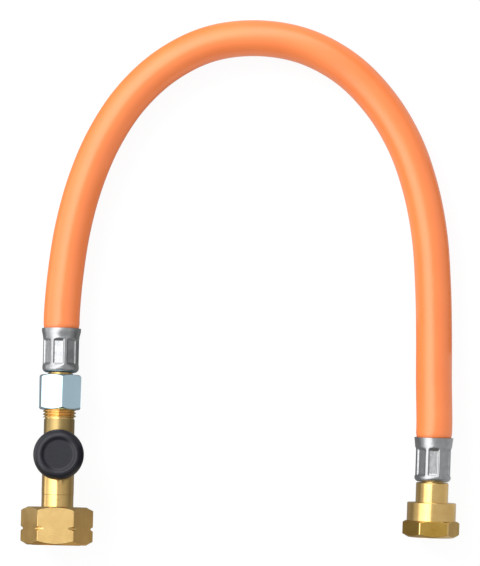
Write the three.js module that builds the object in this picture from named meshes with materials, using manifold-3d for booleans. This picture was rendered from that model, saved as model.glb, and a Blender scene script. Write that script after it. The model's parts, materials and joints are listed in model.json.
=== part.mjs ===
// A flexible gas hose assembly that lies on its side on a flat surface.
// A rubber hose bends in a wide arch between two brass fittings. The left fitting screws on a
// gas bottle with a large union nut and holds an excess flow valve with a round push button.
// The right fitting screws on a regulator with a smaller union nut.
// Units are millimetres, +Z is up, +Y runs from the fittings towards the top of the arch.
// The origin is on the surface, under the middle of the box round the two fittings.
import * as THREE from "three";
import { mergeVertices } from "three/addons/utils/BufferGeometryUtils.js";
import Module from "manifold-3d";

const wasm = await Module();
wasm.setup();

// Clearances and fineness
const GAP = 0.3; // between two pieces that touch
const PAST = 1; // how far a cutter runs past the face that it opens
const ROUND = 32; // sides of a turned piece
const FINE = 16; // sides of a small turned piece
const WIRE_SIDES = 6;
const SPRING_STEPS = 12; // along one turn of a spring
const HEX_HALF_SIDE = 30; // degrees from the middle of a flat to its corner
const HEX_CORNERS = 1 / Math.cos(Math.PI / 6); // across corners for each unit across flats
const HEX_CHAMFER_SLOPE = Math.tan(Math.PI / 3); // a nut's ends are turned to 30 degrees

// Where the fittings lie: the middle of each ferrule's mouth, and how far each axis leans
const LEFT_MOUTH = [-85.8, 51.9];
const LEFT_LEAN = 1.2; // degrees, hose end towards +X
const LEFT_ROLL = 2.6; // degrees, the button leans towards +X
const RIGHT_MOUTH = [92.9, -0.4];
const RIGHT_LEAN = 2.0;
const RIGHT_LIFT = 3; // degrees, the stiff hose holds this fitting's end up

// Union nut of the bottle side, with a left-hand thread marked by notched corners
const BOTTLE_NUT_FLATS = 30; // across flats
const BOTTLE_NUT_LENGTH = 18.2;
const BOTTLE_NUT_BORE = 10; // radius inside the thread
const BOTTLE_NUT_WALL = 4.7; // end wall behind the nipple's flange
const BOTTLE_NUT_INSET = 0.9; // the end chamfer starts this far inside the flats
const NOTCH_AT = 7.8;
const NOTCH_DEPTH = 1.1;
const NOTCH_FLOOR = 0.7;
const NOTCH_MOUTH = 2;

// Nipple of the bottle side and its seal
const NIPPLE_RADIUS = 7.65;
const NIPPLE_SHOWN = 5.8; // between the nut and the valve body
const NIPPLE_BORE = 2.8;
const BOTTLE_FLANGE_RADIUS = 9.4;
const BOTTLE_FLANGE_THICKNESS = 2.7;
const BOTTLE_SEAL_RADIUS = 9;
const BOTTLE_SEAL_THICKNESS = 2.4;
const BOTTLE_NOSE_RADIUS = 4.6; // tube end that carries the seal
const NOSE_RECESS = 0.4; // the nose stops this far behind the seal's face
const SPIGOT_RADIUS = 5.7; // screwed into the valve body
const SPIGOT_LENGTH = 6.1;

// Valve body
const BARREL_RADIUS = 7.7;
const BARREL_LENGTH = 28.5;
const NECK_RADIUS = 7.35;
const NECK_LENGTH = 7.5;
const NECK_CHAMFER = 0.5;
const RELIEF_RADIUS = 6.9; // groove at the thread's foot
const RELIEF_WIDTH = 0.7;
const THREAD_RADIUS = 8; // M16 x 1.5
const THREAD_ROOT = 7.1;
const THREAD_PITCH = 1.5;
const THREAD_CREST = 0.3; // flat on each crest
const THREAD_RUNS = 3; // crests that show below the cap nut
const THREAD_GRIPPED = 9.3; // length inside the cap nut
const OUTLET_BORE = 3;

// Excess flow valve in the body
const RETAINER_THICKNESS = 1.1;
const RETAINER_HOLE = 2.8;
const CHAMBER_RADIUS = 5.4;
const CHAMBER_LENGTH = 6.7;
const SEAT_HOLE = 2.4;
const SEAT_RIM = 1; // wall of the raised seat
const SEAT_HEIGHT = 1.8;
const SEAT_WALL = 1.8; // wall between the two chambers
const POPPET_RADIUS = 4.9;
const POPPET_THICKNESS = 1.4;
const POPPET_HUB = 2.2;
const POPPET_SEAL_WALL = 1.1;
const POPPET_SEAL_THICKNESS = 1;
const POPPET_FIN_WIDTH = 4;
const POPPET_FIN_THICKNESS = 1;
const POPPET_TAIL = 0.2; // the fins reach this far into the second chamber
const POPPET_SPRING_RADIUS = 4.4;
const SPRING_WIRE = 0.3; // radius of the wire
const POPPET_SPRING_TURNS = 3;
const RELEASE_RADIUS = 4.2; // second chamber, under the button's stem
const RELEASE_LENGTH = 5.2;

// Push button, with heights from the fitting's axis
const BUTTON_RADIUS = 12.05;
const BUTTON_FOOT = 13;
const BUTTON_RIM_HEIGHT = 23.2;
const BUTTON_SHOULDER_HEIGHT = 18.6; // the skirt starts to round over here
const BUTTON_RIM_OUTER = 10.2;
const BUTTON_RIM_INNER = 9;
const BUTTON_DISH_RADIUS = 7.5;
const BUTTON_DISH_DEPTH = 0.9;
const BUTTON_WALL = 1.7;
const BUTTON_HUB_RADIUS = 3.8;
const BUTTON_HUB_LENGTH = 2.7;
const BUTTON_SOCKET_ROOF = 0.6;
const BOSS_RADIUS = 7.4;
const BOSS_HEIGHT = 12.5;
const BOSS_FLOOR = 6.2;
const GLAND_RADIUS = 5.2;
const GLAND_FLANGE_RADIUS = 7.2;
const GLAND_FLANGE_THICKNESS = 1.5;
const GLAND_POCKET_RADIUS = 3.9;
const GLAND_POCKET_DEPTH = 5.5;
const STEM_RADIUS = 2;
const STEM_TIP_HEIGHT = 5.4;
const STEM_TIP_RADIUS = 0.9;
const STEM_TAPER = 1.1;
const STEM_SEAL_RADIUS = 3.5;
const STEM_SEAL_HEIGHT = 1.1;
const CLIP_RADIUS = 3.2;
const CLIP_THICKNESS = 0.7;
const CLIP_GROOVE_RADIUS = 1.6;
const CLIP_SLOT = 2.2;
const BUTTON_SPRING_RADIUS = 5.3;
const BUTTON_SPRING_TURNS = 3;

// Compression joint between the valve body and the left hose tail
const CAP_NUT_FLATS = 19;
const CAP_NUT_LENGTH = 16.8;
const CAP_NUT_TURN = 8.3; // degrees, one corner towards +X of straight up
const CAP_NUT_INSET = 0.5;
const CAP_NUT_NOSE = 2.6; // plain end that fits the tube
const TUBE_RADIUS = 5;
const TUBE_DEPTH = 8.7; // how far the tube goes into the body
const CONE_TAPER = 1; // growth of the body's inner cone
const CONE_LENGTH = 4.7;
const RING_LENGTH = 5.4;
const RING_NOSE = 2;
const RING_BACK = 1.8;
const RING_SHOULDER = 2.1;
const COLLAR_RADIUS = 5.7;
const COLLAR_SHOWN = 1; // between the cap nut and the ferrule

// Union nut of the regulator side
const REGULATOR_NUT_FLATS = 24;
const REGULATOR_HEX_LENGTH = 7.8;
const REGULATOR_COLLAR_RADIUS = 11.75;
const REGULATOR_COLLAR_LENGTH = 8.8;
const REGULATOR_NUT_TURN = 3.7; // degrees, the upper flat faces this far towards +X
const REGULATOR_NUT_BORE = 9.2;
const REGULATOR_NUT_WALL = 4.2;
const REGULATOR_NUT_INSET = 0.9;
const REGULATOR_STEP_INSET = -0.4; // the chamfer at the collar only meets the corners
const COLLAR_EDGE = 0.4;

// Hose tail of the regulator side and its seal
const TAIL_RADIUS = 7.8;
const TAIL_SHOWN = 9.6; // between the nut and the ferrule
const TAIL_EDGE = 0.6;
const REGULATOR_FLANGE_RADIUS = 8.8;
const REGULATOR_FLANGE_THICKNESS = 2.8;
const REGULATOR_SEAL_RADIUS = 8.6;
const REGULATOR_SEAL_THICKNESS = 2.3;
const REGULATOR_NOSE_RADIUS = 4.5;

// Barbed ends inside the hose
const TAIL_BORE = 2.2;
const TAIL_NECK_RADIUS = 5.2; // inside the ferrule's foot
const TAIL_NECK_LENGTH = 1.8;
const STOP_RADIUS = 6;
const STOP_THICKNESS = 0.9;
const BARB_RADIUS = 3.5;
const BARB_ROOT = 3;
const BARB_PITCH = 3.6;
const BARBS = 4;

// Crimped ferrules
const FERRULE_LENGTH = 21.2;
const FERRULE_RADIUS = 8.75;
const FERRULE_WALL = 0.85;
const FERRULE_FOOT = 1.2; // thickness of the turned-in foot
const FERRULE_ROUND = 2.2; // rounding of the foot's edge
const FERRULE_MOUTH = 9.4;
const LEFT_LIP = [4.6, 0.9]; // where the flare starts and ends, from the mouth
const RIGHT_LIP = [6.2, 0];
const INDENTS = 8;
const INDENT_DEPTH = 0.95;
const INDENT_WIDTH = 4;
const INDENT_SIDE_SLOPE = 0.6;
const INDENT_END_SLOPE = 2;
const LEFT_INDENT = [5.3, 15.1]; // flat floor, from the foot
const RIGHT_INDENT = [3.8, 15.1];
const LEFT_INDENT_TURN = -5.4; // degrees, the nearest indent from straight up towards +X
const RIGHT_INDENT_TURN = -0.8;

// Hose
const HOSE_RADIUS = 8.65;
const HOSE_BORE = 4;
const HOSE_INSERT = 18; // length inside each ferrule
const HOSE_SIDES = 12;
const HOSE_STEPS = 44;
const HOSE_LEAD = 7; // straight stretch outside each ferrule
// The middle line of the arch from the left leg to the right leg, lying on the surface
// apart from its ends, which rise to the fittings
const HOSE_ROUTE = [
  [-84.0, 77.2, 8.8],
  [-80.4, 100.0, 8.7],
  [-74.3, 122.3, 8.7],
  [-65.2, 143.5, 8.7],
  [-52.4, 162.7, 8.7],
  [-35.4, 178.3, 8.7],
  [-14.8, 188.5, 8.7],
  [8.0, 191.4, 8.7],
  [30.7, 187.6, 8.7],
  [51.0, 176.8, 8.7],
  [67.2, 160.4, 8.7],
  [79.1, 140.7, 8.7],
  [86.7, 118.9, 8.7],
  [91.0, 96.2, 8.7],
  [92.6, 73.1, 8.7],
  [93.1, 49.9, 8.8],
  [93.0, 26.8, 9.7],
];

// Stations along the left fitting, from the open end of its nut towards the hose
const nippleTop = BOTTLE_NUT_LENGTH + NIPPLE_SHOWN;
const bodyFoot = nippleTop + GAP;
const spigotTop = nippleTop + SPIGOT_LENGTH;
const retainerFoot = spigotTop + GAP;
const poppetFoot = retainerFoot + RETAINER_THICKNESS + GAP;
const poppetTop = poppetFoot + POPPET_THICKNESS;
const chamberTop = poppetFoot + CHAMBER_LENGTH;
const releaseFoot = chamberTop + SEAT_WALL;
const buttonAt = releaseFoot + RELEASE_LENGTH / 2;
const neckFoot = bodyFoot + BARREL_LENGTH;
const threadFoot = neckFoot + NECK_LENGTH + RELIEF_WIDTH;
const capNutFoot = threadFoot + THREAD_RUNS * THREAD_PITCH - THREAD_PITCH / 2;
const bodyTop = capNutFoot + THREAD_GRIPPED;
const tubeFoot = bodyTop - TUBE_DEPTH;
const capNutTop = capNutFoot + CAP_NUT_LENGTH;
const leftFerruleFoot = capNutTop + COLLAR_SHOWN;
const leftLength = leftFerruleFoot + FERRULE_LENGTH;

// Stations along the right fitting
const regulatorNutLength = REGULATOR_HEX_LENGTH + REGULATOR_COLLAR_LENGTH;
const tailShoulder = regulatorNutLength + TAIL_SHOWN;
const rightFerruleFoot = tailShoulder + GAP;
const rightLength = rightFerruleFoot + FERRULE_LENGTH;

// Heights above the left fitting's axis
const glandFoot = BOSS_FLOOR + GAP;
const glandFlangeFoot = BOSS_HEIGHT + GAP;
const glandTop = glandFlangeFoot + GLAND_FLANGE_THICKNESS;
const pocketTop = glandFoot + GLAND_POCKET_DEPTH;
const buttonDish = BUTTON_RIM_HEIGHT - BUTTON_DISH_DEPTH;
const buttonCeiling = buttonDish - BUTTON_WALL;
const hubFoot = buttonCeiling - BUTTON_HUB_LENGTH;
const socketRoof = buttonCeiling - BUTTON_SOCKET_ROOF;

// Finishes
const brass = () => finish(0xc9a45c, 0.3, 1);
const zinc = () => finish(0xb9bec2, 0.25, 1);
const blueZinc = () => finish(0xd9e3ea, 0.2, 1);
const steel = () => finish(0x9a9ea3, 0.35, 1);
const blackRubber = () => finish(0x1c1c1e, 0.8, 0);
const blackPlastic = () => finish(0x38383e, 0.45, 0);
const orangeRubber = () => finish(0xf48a52, 0.6, 0);

function finish(color, roughness, metalness) {
  return new THREE.MeshStandardMaterial({ color, roughness, metalness });
}

// A closed three.js geometry as a solid that can be cut and joined.
function solid(geometry) {
  const bare = new THREE.BufferGeometry();
  bare.setAttribute("position", geometry.getAttribute("position"));
  bare.setIndex(geometry.index);
  const merged = mergeVertices(bare);
  return new wasm.Manifold(
    new wasm.Mesh({
      numProp: 3,
      vertProperties: merged.getAttribute("position").array,
      triVerts: new Uint32Array(merged.index.array),
    }),
  );
}

function geometryOf(body) {
  const { vertProperties, triVerts } = body.getMesh();
  const geometry = new THREE.BufferGeometry();
  geometry.setAttribute("position", new THREE.BufferAttribute(vertProperties, 3));
  geometry.setIndex(new THREE.BufferAttribute(triVerts, 1));
  geometry.computeVertexNormals();
  return geometry;
}

function piece(name, geometry, material) {
  const mesh = new THREE.Mesh(geometry, material);
  mesh.name = name;
  return mesh;
}

// A shape turned about the Y axis from its half section, given as [radius, height] pairs.
// A section that starts off the axis closes on itself.
function turned(section, sides = ROUND) {
  const points = section.map(([radius, height]) => new THREE.Vector2(radius, height));
  if (THREE.ShapeUtils.area(points) < 0) points.reverse();
  if (points[0].x > 0) points.push(points[0].clone());
  return new THREE.LatheGeometry(points, sides);
}

function disc(radius, from, to) {
  return [
    [0, from],
    [radius, from],
    [radius, to],
    [0, to],
  ];
}

function ring(inner, outer, from, to) {
  return [
    [inner, from],
    [outer, from],
    [outer, to],
    [inner, to],
  ];
}

// Points on a quarter of an ellipse, from its side at [right, low] to its top at [left, high].
function quarterRound(right, low, left, high, parts) {
  const points = [];
  for (let i = 0; i <= parts; i++) {
    const angle = (i / parts) * (Math.PI / 2);
    const radius = left + (right - left) * Math.cos(angle);
    points.push([radius, low + (high - low) * Math.sin(angle)]);
  }
  return points;
}

// A hexagonal bar from 0 to its length with both ends turned down. One flat faces +Z,
// and turn moves it towards +X.
function hexBar(flats, length, inset, turn, farInset = inset) {
  const corner = (flats / 2) * HEX_CORNERS;
  const bar = new THREE.CylinderGeometry(corner, corner, length, 6);
  bar.rotateY(THREE.MathUtils.degToRad(HEX_HALF_SIDE + turn));
  bar.translate(0, length / 2, 0);
  const wide = corner + PAST;
  const narrow = flats / 2 - inset;
  const farNarrow = flats / 2 - farInset;
  const run = (wide - narrow) / HEX_CHAMFER_SLOPE;
  const farRun = (wide - farNarrow) / HEX_CHAMFER_SLOPE;
  const envelope = turned([
    [0, 0],
    [narrow, 0],
    [wide, run],
    [wide, length - farRun],
    [farNarrow, length],
    [0, length],
  ]);
  return solid(bar).intersect(solid(envelope));
}

// How far a turned hexagon reaches straight down from its axis.
function hexReach(flats, turn) {
  const off = Math.abs(THREE.MathUtils.degToRad(turn));
  const away = THREE.MathUtils.degToRad(HEX_HALF_SIDE) - off;
  return (flats / 2) * HEX_CORNERS * Math.cos(away);
}

// A coil spring of round wire that stands on the XZ plane.
class Helix extends THREE.Curve {
  constructor(radius, height, turns) {
    super();
    Object.assign(this, { radius, height, turns });
  }

  getPoint(t, target = new THREE.Vector3()) {
    const angle = 2 * Math.PI * this.turns * t;
    const x = this.radius * Math.cos(angle);
    return target.set(x, this.height * t, this.radius * Math.sin(angle));
  }
}

function polygon(radius, sides) {
  const corners = [];
  for (let i = 0; i < sides; i++) {
    const angle = (2 * Math.PI * i) / sides;
    corners.push(new THREE.Vector2(radius * Math.cos(angle), radius * Math.sin(angle)));
  }
  return corners;
}

function coilSpring(radius, from, to, turns) {
  const section = new THREE.Shape(polygon(SPRING_WIRE, WIRE_SIDES));
  const length = to - from - 2 * (GAP + SPRING_WIRE);
  const extrudePath = new Helix(radius, length, turns);
  const options = { steps: turns * SPRING_STEPS, extrudePath, bevelEnabled: false };
  const coil = new THREE.ExtrudeGeometry(section, options);
  return coil.translate(0, from + GAP + SPRING_WIRE, 0);
}

// Left fitting: bottle nut, nipple and seal

function bottleNut() {
  const seat = BOTTLE_NUT_LENGTH - BOTTLE_NUT_WALL;
  const bore = [
    [0, -PAST],
    [BOTTLE_NUT_BORE, -PAST],
    [BOTTLE_NUT_BORE, seat],
    [NIPPLE_RADIUS + GAP, seat],
    [NIPPLE_RADIUS + GAP, BOTTLE_NUT_LENGTH + PAST],
    [0, BOTTLE_NUT_LENGTH + PAST],
  ];
  const corner = (BOTTLE_NUT_FLATS / 2) * HEX_CORNERS;
  const floor = corner - NOTCH_DEPTH;
  const notch = [
    [floor, NOTCH_AT - NOTCH_FLOOR / 2],
    [corner, NOTCH_AT - NOTCH_MOUTH / 2],
    [corner + PAST, NOTCH_AT - NOTCH_MOUTH / 2],
    [corner + PAST, NOTCH_AT + NOTCH_MOUTH / 2],
    [corner, NOTCH_AT + NOTCH_MOUTH / 2],
    [floor, NOTCH_AT + NOTCH_FLOOR / 2],
  ];
  const bar = hexBar(BOTTLE_NUT_FLATS, BOTTLE_NUT_LENGTH, BOTTLE_NUT_INSET, 0);
  const cut = bar.subtract(solid(turned(bore))).subtract(solid(turned(notch)));
  return piece("bottle_nut", geometryOf(cut), brass());
}

const bottleFlangeTop = BOTTLE_NUT_LENGTH - BOTTLE_NUT_WALL - GAP;
const bottleFlangeFoot = bottleFlangeTop - BOTTLE_FLANGE_THICKNESS;
const bottleSealFoot = bottleFlangeFoot - GAP - BOTTLE_SEAL_THICKNESS;

function bottleNipple() {
  const section = [
    [NIPPLE_BORE, bottleSealFoot + NOSE_RECESS],
    [BOTTLE_NOSE_RADIUS, bottleSealFoot + NOSE_RECESS],
    [BOTTLE_NOSE_RADIUS, bottleFlangeFoot],
    [BOTTLE_FLANGE_RADIUS, bottleFlangeFoot],
    [BOTTLE_FLANGE_RADIUS, bottleFlangeTop],
    [NIPPLE_RADIUS, bottleFlangeTop],
    [NIPPLE_RADIUS, nippleTop],
    [SPIGOT_RADIUS, nippleTop],
    [SPIGOT_RADIUS, spigotTop],
    [NIPPLE_BORE, spigotTop],
  ];
  return piece("bottle_nipple", turned(section), brass());
}

function bottleSeal() {
  const top = bottleSealFoot + BOTTLE_SEAL_THICKNESS;
  const section = ring(BOTTLE_NOSE_RADIUS + GAP, BOTTLE_SEAL_RADIUS, bottleSealFoot, top);
  return piece("bottle_seal", turned(section), blackRubber());
}

// Left fitting: valve body and what it holds

// The outside of the body, with the crests of the thread that show below the cap nut.
function bodyOutside() {
  const section = [
    [0, bodyFoot],
    [BARREL_RADIUS, bodyFoot],
    [BARREL_RADIUS, neckFoot - NECK_CHAMFER],
    [NECK_RADIUS, neckFoot],
    [NECK_RADIUS, neckFoot + NECK_LENGTH],
    [RELIEF_RADIUS, neckFoot + NECK_LENGTH],
    [RELIEF_RADIUS, threadFoot - THREAD_PITCH / 4],
  ];
  for (let run = 0; run < THREAD_RUNS; run++) {
    const root = threadFoot + run * THREAD_PITCH;
    const crest = root + THREAD_PITCH / 2;
    section.push([THREAD_ROOT, root]);
    section.push([THREAD_RADIUS, crest - THREAD_CREST / 2]);
    section.push([THREAD_RADIUS, crest + THREAD_CREST / 2]);
  }
  const lastRoot = threadFoot + THREAD_RUNS * THREAD_PITCH;
  section.push([THREAD_ROOT, lastRoot]);
  section.push([THREAD_RADIUS, lastRoot + THREAD_PITCH / 2]);
  section.push([THREAD_RADIUS, bodyTop - THREAD_PITCH / 2]);
  section.push([THREAD_ROOT, bodyTop]);
  section.push([0, bodyTop]);
  return section;
}

// The gas way through the body: the nipple's socket, the poppet's chamber with its raised
// seat, the chamber under the stem, the outlet and the socket and cone for the tube.
function bodyInside() {
  const socket = SPIGOT_RADIUS + GAP;
  const tube = TUBE_RADIUS + GAP;
  return [
    [0, bodyFoot - PAST],
    [socket, bodyFoot - PAST],
    [socket, poppetFoot],
    [CHAMBER_RADIUS, poppetFoot],
    [CHAMBER_RADIUS, chamberTop],
    [SEAT_HOLE + SEAT_RIM, chamberTop],
    [SEAT_HOLE + SEAT_RIM, chamberTop - SEAT_HEIGHT],
    [SEAT_HOLE, chamberTop - SEAT_HEIGHT],
    [SEAT_HOLE, releaseFoot],
    [RELEASE_RADIUS, releaseFoot],
    [RELEASE_RADIUS, releaseFoot + RELEASE_LENGTH],
    [OUTLET_BORE, releaseFoot + RELEASE_LENGTH],
    [OUTLET_BORE, tubeFoot - GAP],
    [tube, tubeFoot - GAP],
    [tube, bodyTop - CONE_LENGTH],
    [tube + CONE_TAPER, bodyTop],
    [tube + CONE_TAPER, bodyTop + PAST],
    [0, bodyTop + PAST],
  ];
}

// A section turned about the button's axis, which stands on the fitting's axis.
function aboutButton(geometry) {
  return geometry.rotateX(Math.PI / 2).translate(0, buttonAt, 0);
}

function valveBody() {
  const boss = aboutButton(turned(disc(BOSS_RADIUS, 0, BOSS_HEIGHT)));
  const glandBore = aboutButton(turned(disc(GLAND_RADIUS + GAP, BOSS_FLOOR, BOSS_HEIGHT + PAST)));
  const stemBore = aboutButton(turned(disc(STEM_RADIUS + GAP, 0, BOSS_FLOOR + PAST), FINE));
  const body = solid(turned(bodyOutside()))
    .add(solid(boss))
    .subtract(solid(turned(bodyInside())))
    .subtract(solid(glandBore))
    .subtract(solid(stemBore));
  return piece("valve_body", geometryOf(body), brass());
}

function poppetRetainer() {
  const top = retainerFoot + RETAINER_THICKNESS;
  const section = ring(RETAINER_HOLE, SPIGOT_RADIUS, retainerFoot, top);
  return piece("poppet_retainer", turned(section, FINE), steel());
}

// A disc with a hub for its seal and crossed fins that guide it in the seat's hole.
function poppet() {
  const hubTop = poppetTop + POPPET_SEAL_THICKNESS + 2 * GAP;
  const finTop = releaseFoot + POPPET_TAIL;
  const section = [
    [0, poppetFoot],
    [POPPET_RADIUS, poppetFoot],
    [POPPET_RADIUS, poppetTop],
    [POPPET_HUB, poppetTop],
    [POPPET_HUB, hubTop],
    [0, hubTop],
  ];
  const length = finTop - poppetTop;
  const fin = new THREE.BoxGeometry(POPPET_FIN_WIDTH, length, POPPET_FIN_THICKNESS);
  fin.translate(0, poppetTop + length / 2, 0);
  const body = solid(turned(section, FINE))
    .add(solid(fin))
    .add(solid(fin.clone().rotateY(Math.PI / 2)));
  return piece("poppet", geometryOf(body), brass());
}

function poppetSeal() {
  const inner = POPPET_HUB + GAP;
  const foot = poppetTop + GAP;
  const section = ring(inner, inner + POPPET_SEAL_WALL, foot, foot + POPPET_SEAL_THICKNESS);
  return piece("poppet_seal", turned(section, FINE), blackRubber());
}

function poppetSpring() {
  const coil = coilSpring(POPPET_SPRING_RADIUS, poppetTop, chamberTop, POPPET_SPRING_TURNS);
  return piece("poppet_spring", coil, steel());
}

// Left fitting: push button, stem and gland, each turned about the button's axis

function buttonGland() {
  const section = [
    [GLAND_POCKET_RADIUS, glandFoot],
    [GLAND_RADIUS, glandFoot],
    [GLAND_RADIUS, glandFlangeFoot],
    [GLAND_FLANGE_RADIUS, glandFlangeFoot],
    [GLAND_FLANGE_RADIUS, glandTop],
    [STEM_RADIUS + GAP, glandTop],
    [STEM_RADIUS + GAP, pocketTop],
    [GLAND_POCKET_RADIUS, pocketTop],
  ];
  return piece("button_gland", turned(section, FINE), brass());
}

function stemSeal() {
  const section = ring(STEM_RADIUS + GAP, STEM_SEAL_RADIUS, glandFoot, glandFoot + STEM_SEAL_HEIGHT);
  return piece("stem_seal", turned(section, FINE), blackRubber());
}

const clipTop = pocketTop - GAP;
const clipFoot = clipTop - CLIP_THICKNESS;

function buttonStem() {
  const section = [
    [0, STEM_TIP_HEIGHT],
    [STEM_TIP_RADIUS, STEM_TIP_HEIGHT],
    [STEM_RADIUS, STEM_TIP_HEIGHT + STEM_TAPER],
    [STEM_RADIUS, clipFoot - GAP],
    [CLIP_GROOVE_RADIUS, clipFoot - GAP],
    [CLIP_GROOVE_RADIUS, clipTop + GAP],
    [STEM_RADIUS, clipTop + GAP],
    [STEM_RADIUS, socketRoof - GAP],
    [0, socketRoof - GAP],
  ];
  return piece("button_stem", turned(section, FINE), steel());
}

// A flat open clip that stops the stem under the gland's roof.
function stemClip() {
  const flat = solid(turned(ring(CLIP_GROOVE_RADIUS + GAP, CLIP_RADIUS, clipFoot, clipTop), FINE));
  const mouth = new THREE.BoxGeometry(CLIP_SLOT, CLIP_THICKNESS + 2 * PAST, CLIP_RADIUS + PAST);
  mouth.translate(0, (clipFoot + clipTop) / 2, (CLIP_RADIUS + PAST) / 2);
  return piece("stem_clip", geometryOf(flat.subtract(solid(mouth))), steel());
}

function buttonSpring() {
  const coil = coilSpring(BUTTON_SPRING_RADIUS, glandTop, buttonCeiling, BUTTON_SPRING_TURNS);
  return piece("button_spring", coil, steel());
}

// A hollow cap with a rounded rim, a shallow dish and a socket for the stem.
function buttonCap() {
  const inside = BUTTON_RADIUS - BUTTON_WALL;
  const section = [
    [0, socketRoof],
    [STEM_RADIUS + GAP, socketRoof],
    [STEM_RADIUS + GAP, hubFoot],
    [BUTTON_HUB_RADIUS, hubFoot],
    [BUTTON_HUB_RADIUS, buttonCeiling],
    [inside - BUTTON_WALL, buttonCeiling],
    [inside, buttonCeiling - BUTTON_WALL],
    [inside, BUTTON_FOOT],
    [BUTTON_RADIUS, BUTTON_FOOT],
    ...quarterRound(
      BUTTON_RADIUS,
      BUTTON_SHOULDER_HEIGHT,
      BUTTON_RIM_OUTER,
      BUTTON_RIM_HEIGHT,
      5,
    ),
    [BUTTON_RIM_INNER, BUTTON_RIM_HEIGHT],
    [BUTTON_DISH_RADIUS, buttonDish],
    [0, buttonDish],
  ];
  return piece("button_cap", turned(section), blackPlastic());
}

// Left fitting: compression joint

function capNut() {
  const wide = THREAD_RADIUS + GAP;
  const narrow = TUBE_RADIUS + GAP;
  const noseFoot = CAP_NUT_LENGTH - CAP_NUT_NOSE;
  const bore = [
    [0, -PAST],
    [wide, -PAST],
    [wide, noseFoot - (wide - narrow)],
    [narrow, noseFoot],
    [narrow, CAP_NUT_LENGTH + PAST],
    [0, CAP_NUT_LENGTH + PAST],
  ];
  const turn = HEX_HALF_SIDE + CAP_NUT_TURN;
  const bar = hexBar(CAP_NUT_FLATS, CAP_NUT_LENGTH, CAP_NUT_INSET, turn);
  const geometry = geometryOf(bar.subtract(solid(turned(bore))));
  return piece("cap_nut", geometry.translate(0, capNutFoot, 0), blueZinc());
}

// A wedge-shaped ring between the body's cone and the cap nut's cone.
function cuttingRing() {
  const inner = TUBE_RADIUS + GAP;
  const foot = bodyTop - RING_NOSE;
  const top = foot + RING_LENGTH;
  const section = [
    [inner, foot],
    [inner + GAP, foot],
    [inner + CONE_TAPER - GAP, bodyTop],
    [inner + RING_SHOULDER, bodyTop + GAP],
    [inner + RING_SHOULDER, top - RING_BACK],
    [inner + GAP, top],
    [inner, top],
  ];
  return piece("cutting_ring", turned(section), steel());
}

// The outline of a barbed end, from the ferrule's foot up into the hose.
function barbedEnd(ferruleFoot) {
  const stopFoot = ferruleFoot - GAP + TAIL_NECK_LENGTH;
  const stopTop = stopFoot + STOP_THICKNESS;
  const section = [
    [TAIL_NECK_RADIUS, ferruleFoot - GAP],
    [TAIL_NECK_RADIUS, stopFoot],
    [STOP_RADIUS, stopFoot],
    [STOP_RADIUS, stopTop],
    [BARB_ROOT, stopTop],
  ];
  for (let barb = 1; barb <= BARBS; barb++) {
    const crest = stopTop + barb * BARB_PITCH - BARB_PITCH / 2;
    section.push([BARB_ROOT, crest]);
    section.push([BARB_RADIUS, crest]);
    section.push([BARB_ROOT, crest + BARB_PITCH / 2]);
  }
  section.push([TAIL_BORE, stopTop + BARBS * BARB_PITCH]);
  return section;
}

function leftTail() {
  const section = [
    [TAIL_BORE, tubeFoot],
    [TUBE_RADIUS, tubeFoot],
    [TUBE_RADIUS, capNutTop + GAP],
    [COLLAR_RADIUS, capNutTop + GAP],
    [COLLAR_RADIUS, leftFerruleFoot - GAP],
    ...barbedEnd(leftFerruleFoot),
  ];
  return piece("left_hose_tail", turned(section), brass());
}

// Right fitting

function regulatorNut() {
  const seat = regulatorNutLength - REGULATOR_NUT_WALL;
  const bore = [
    [0, -PAST],
    [REGULATOR_NUT_BORE, -PAST],
    [REGULATOR_NUT_BORE, seat],
    [TAIL_RADIUS + GAP, seat],
    [TAIL_RADIUS + GAP, regulatorNutLength + PAST],
    [0, regulatorNutLength + PAST],
  ];
  const collar = [
    [0, REGULATOR_HEX_LENGTH / 2],
    [REGULATOR_COLLAR_RADIUS, REGULATOR_HEX_LENGTH / 2],
    [REGULATOR_COLLAR_RADIUS, regulatorNutLength - COLLAR_EDGE],
    [REGULATOR_COLLAR_RADIUS - COLLAR_EDGE, regulatorNutLength],
    [0, regulatorNutLength],
  ];
  const bar = hexBar(
    REGULATOR_NUT_FLATS,
    REGULATOR_HEX_LENGTH,
    REGULATOR_NUT_INSET,
    REGULATOR_NUT_TURN,
    REGULATOR_STEP_INSET,
  );
  const nut = bar.add(solid(turned(collar))).subtract(solid(turned(bore)));
  return piece("regulator_nut", geometryOf(nut), brass());
}

const regulatorFlangeTop = regulatorNutLength - REGULATOR_NUT_WALL - GAP;
const regulatorFlangeFoot = regulatorFlangeTop - REGULATOR_FLANGE_THICKNESS;
const regulatorSealFoot = regulatorFlangeFoot - GAP - REGULATOR_SEAL_THICKNESS;

function rightTail() {
  const section = [
    [TAIL_BORE, regulatorSealFoot + NOSE_RECESS],
    [REGULATOR_NOSE_RADIUS, regulatorSealFoot + NOSE_RECESS],
    [REGULATOR_NOSE_RADIUS, regulatorFlangeFoot],
    [REGULATOR_FLANGE_RADIUS, regulatorFlangeFoot],
    [REGULATOR_FLANGE_RADIUS, regulatorFlangeTop],
    [TAIL_RADIUS, regulatorFlangeTop],
    [TAIL_RADIUS, tailShoulder - TAIL_EDGE],
    [TAIL_RADIUS - TAIL_EDGE, tailShoulder],
    ...barbedEnd(rightFerruleFoot),
  ];
  return piece("right_hose_tail", turned(section), brass());
}

function regulatorSeal() {
  const top = regulatorSealFoot + REGULATOR_SEAL_THICKNESS;
  const inner = REGULATOR_NOSE_RADIUS + GAP;
  const section = ring(inner, REGULATOR_SEAL_RADIUS, regulatorSealFoot, top);
  return piece("regulator_seal", turned(section), blackRubber());
}

// Crimped ferrules

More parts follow.
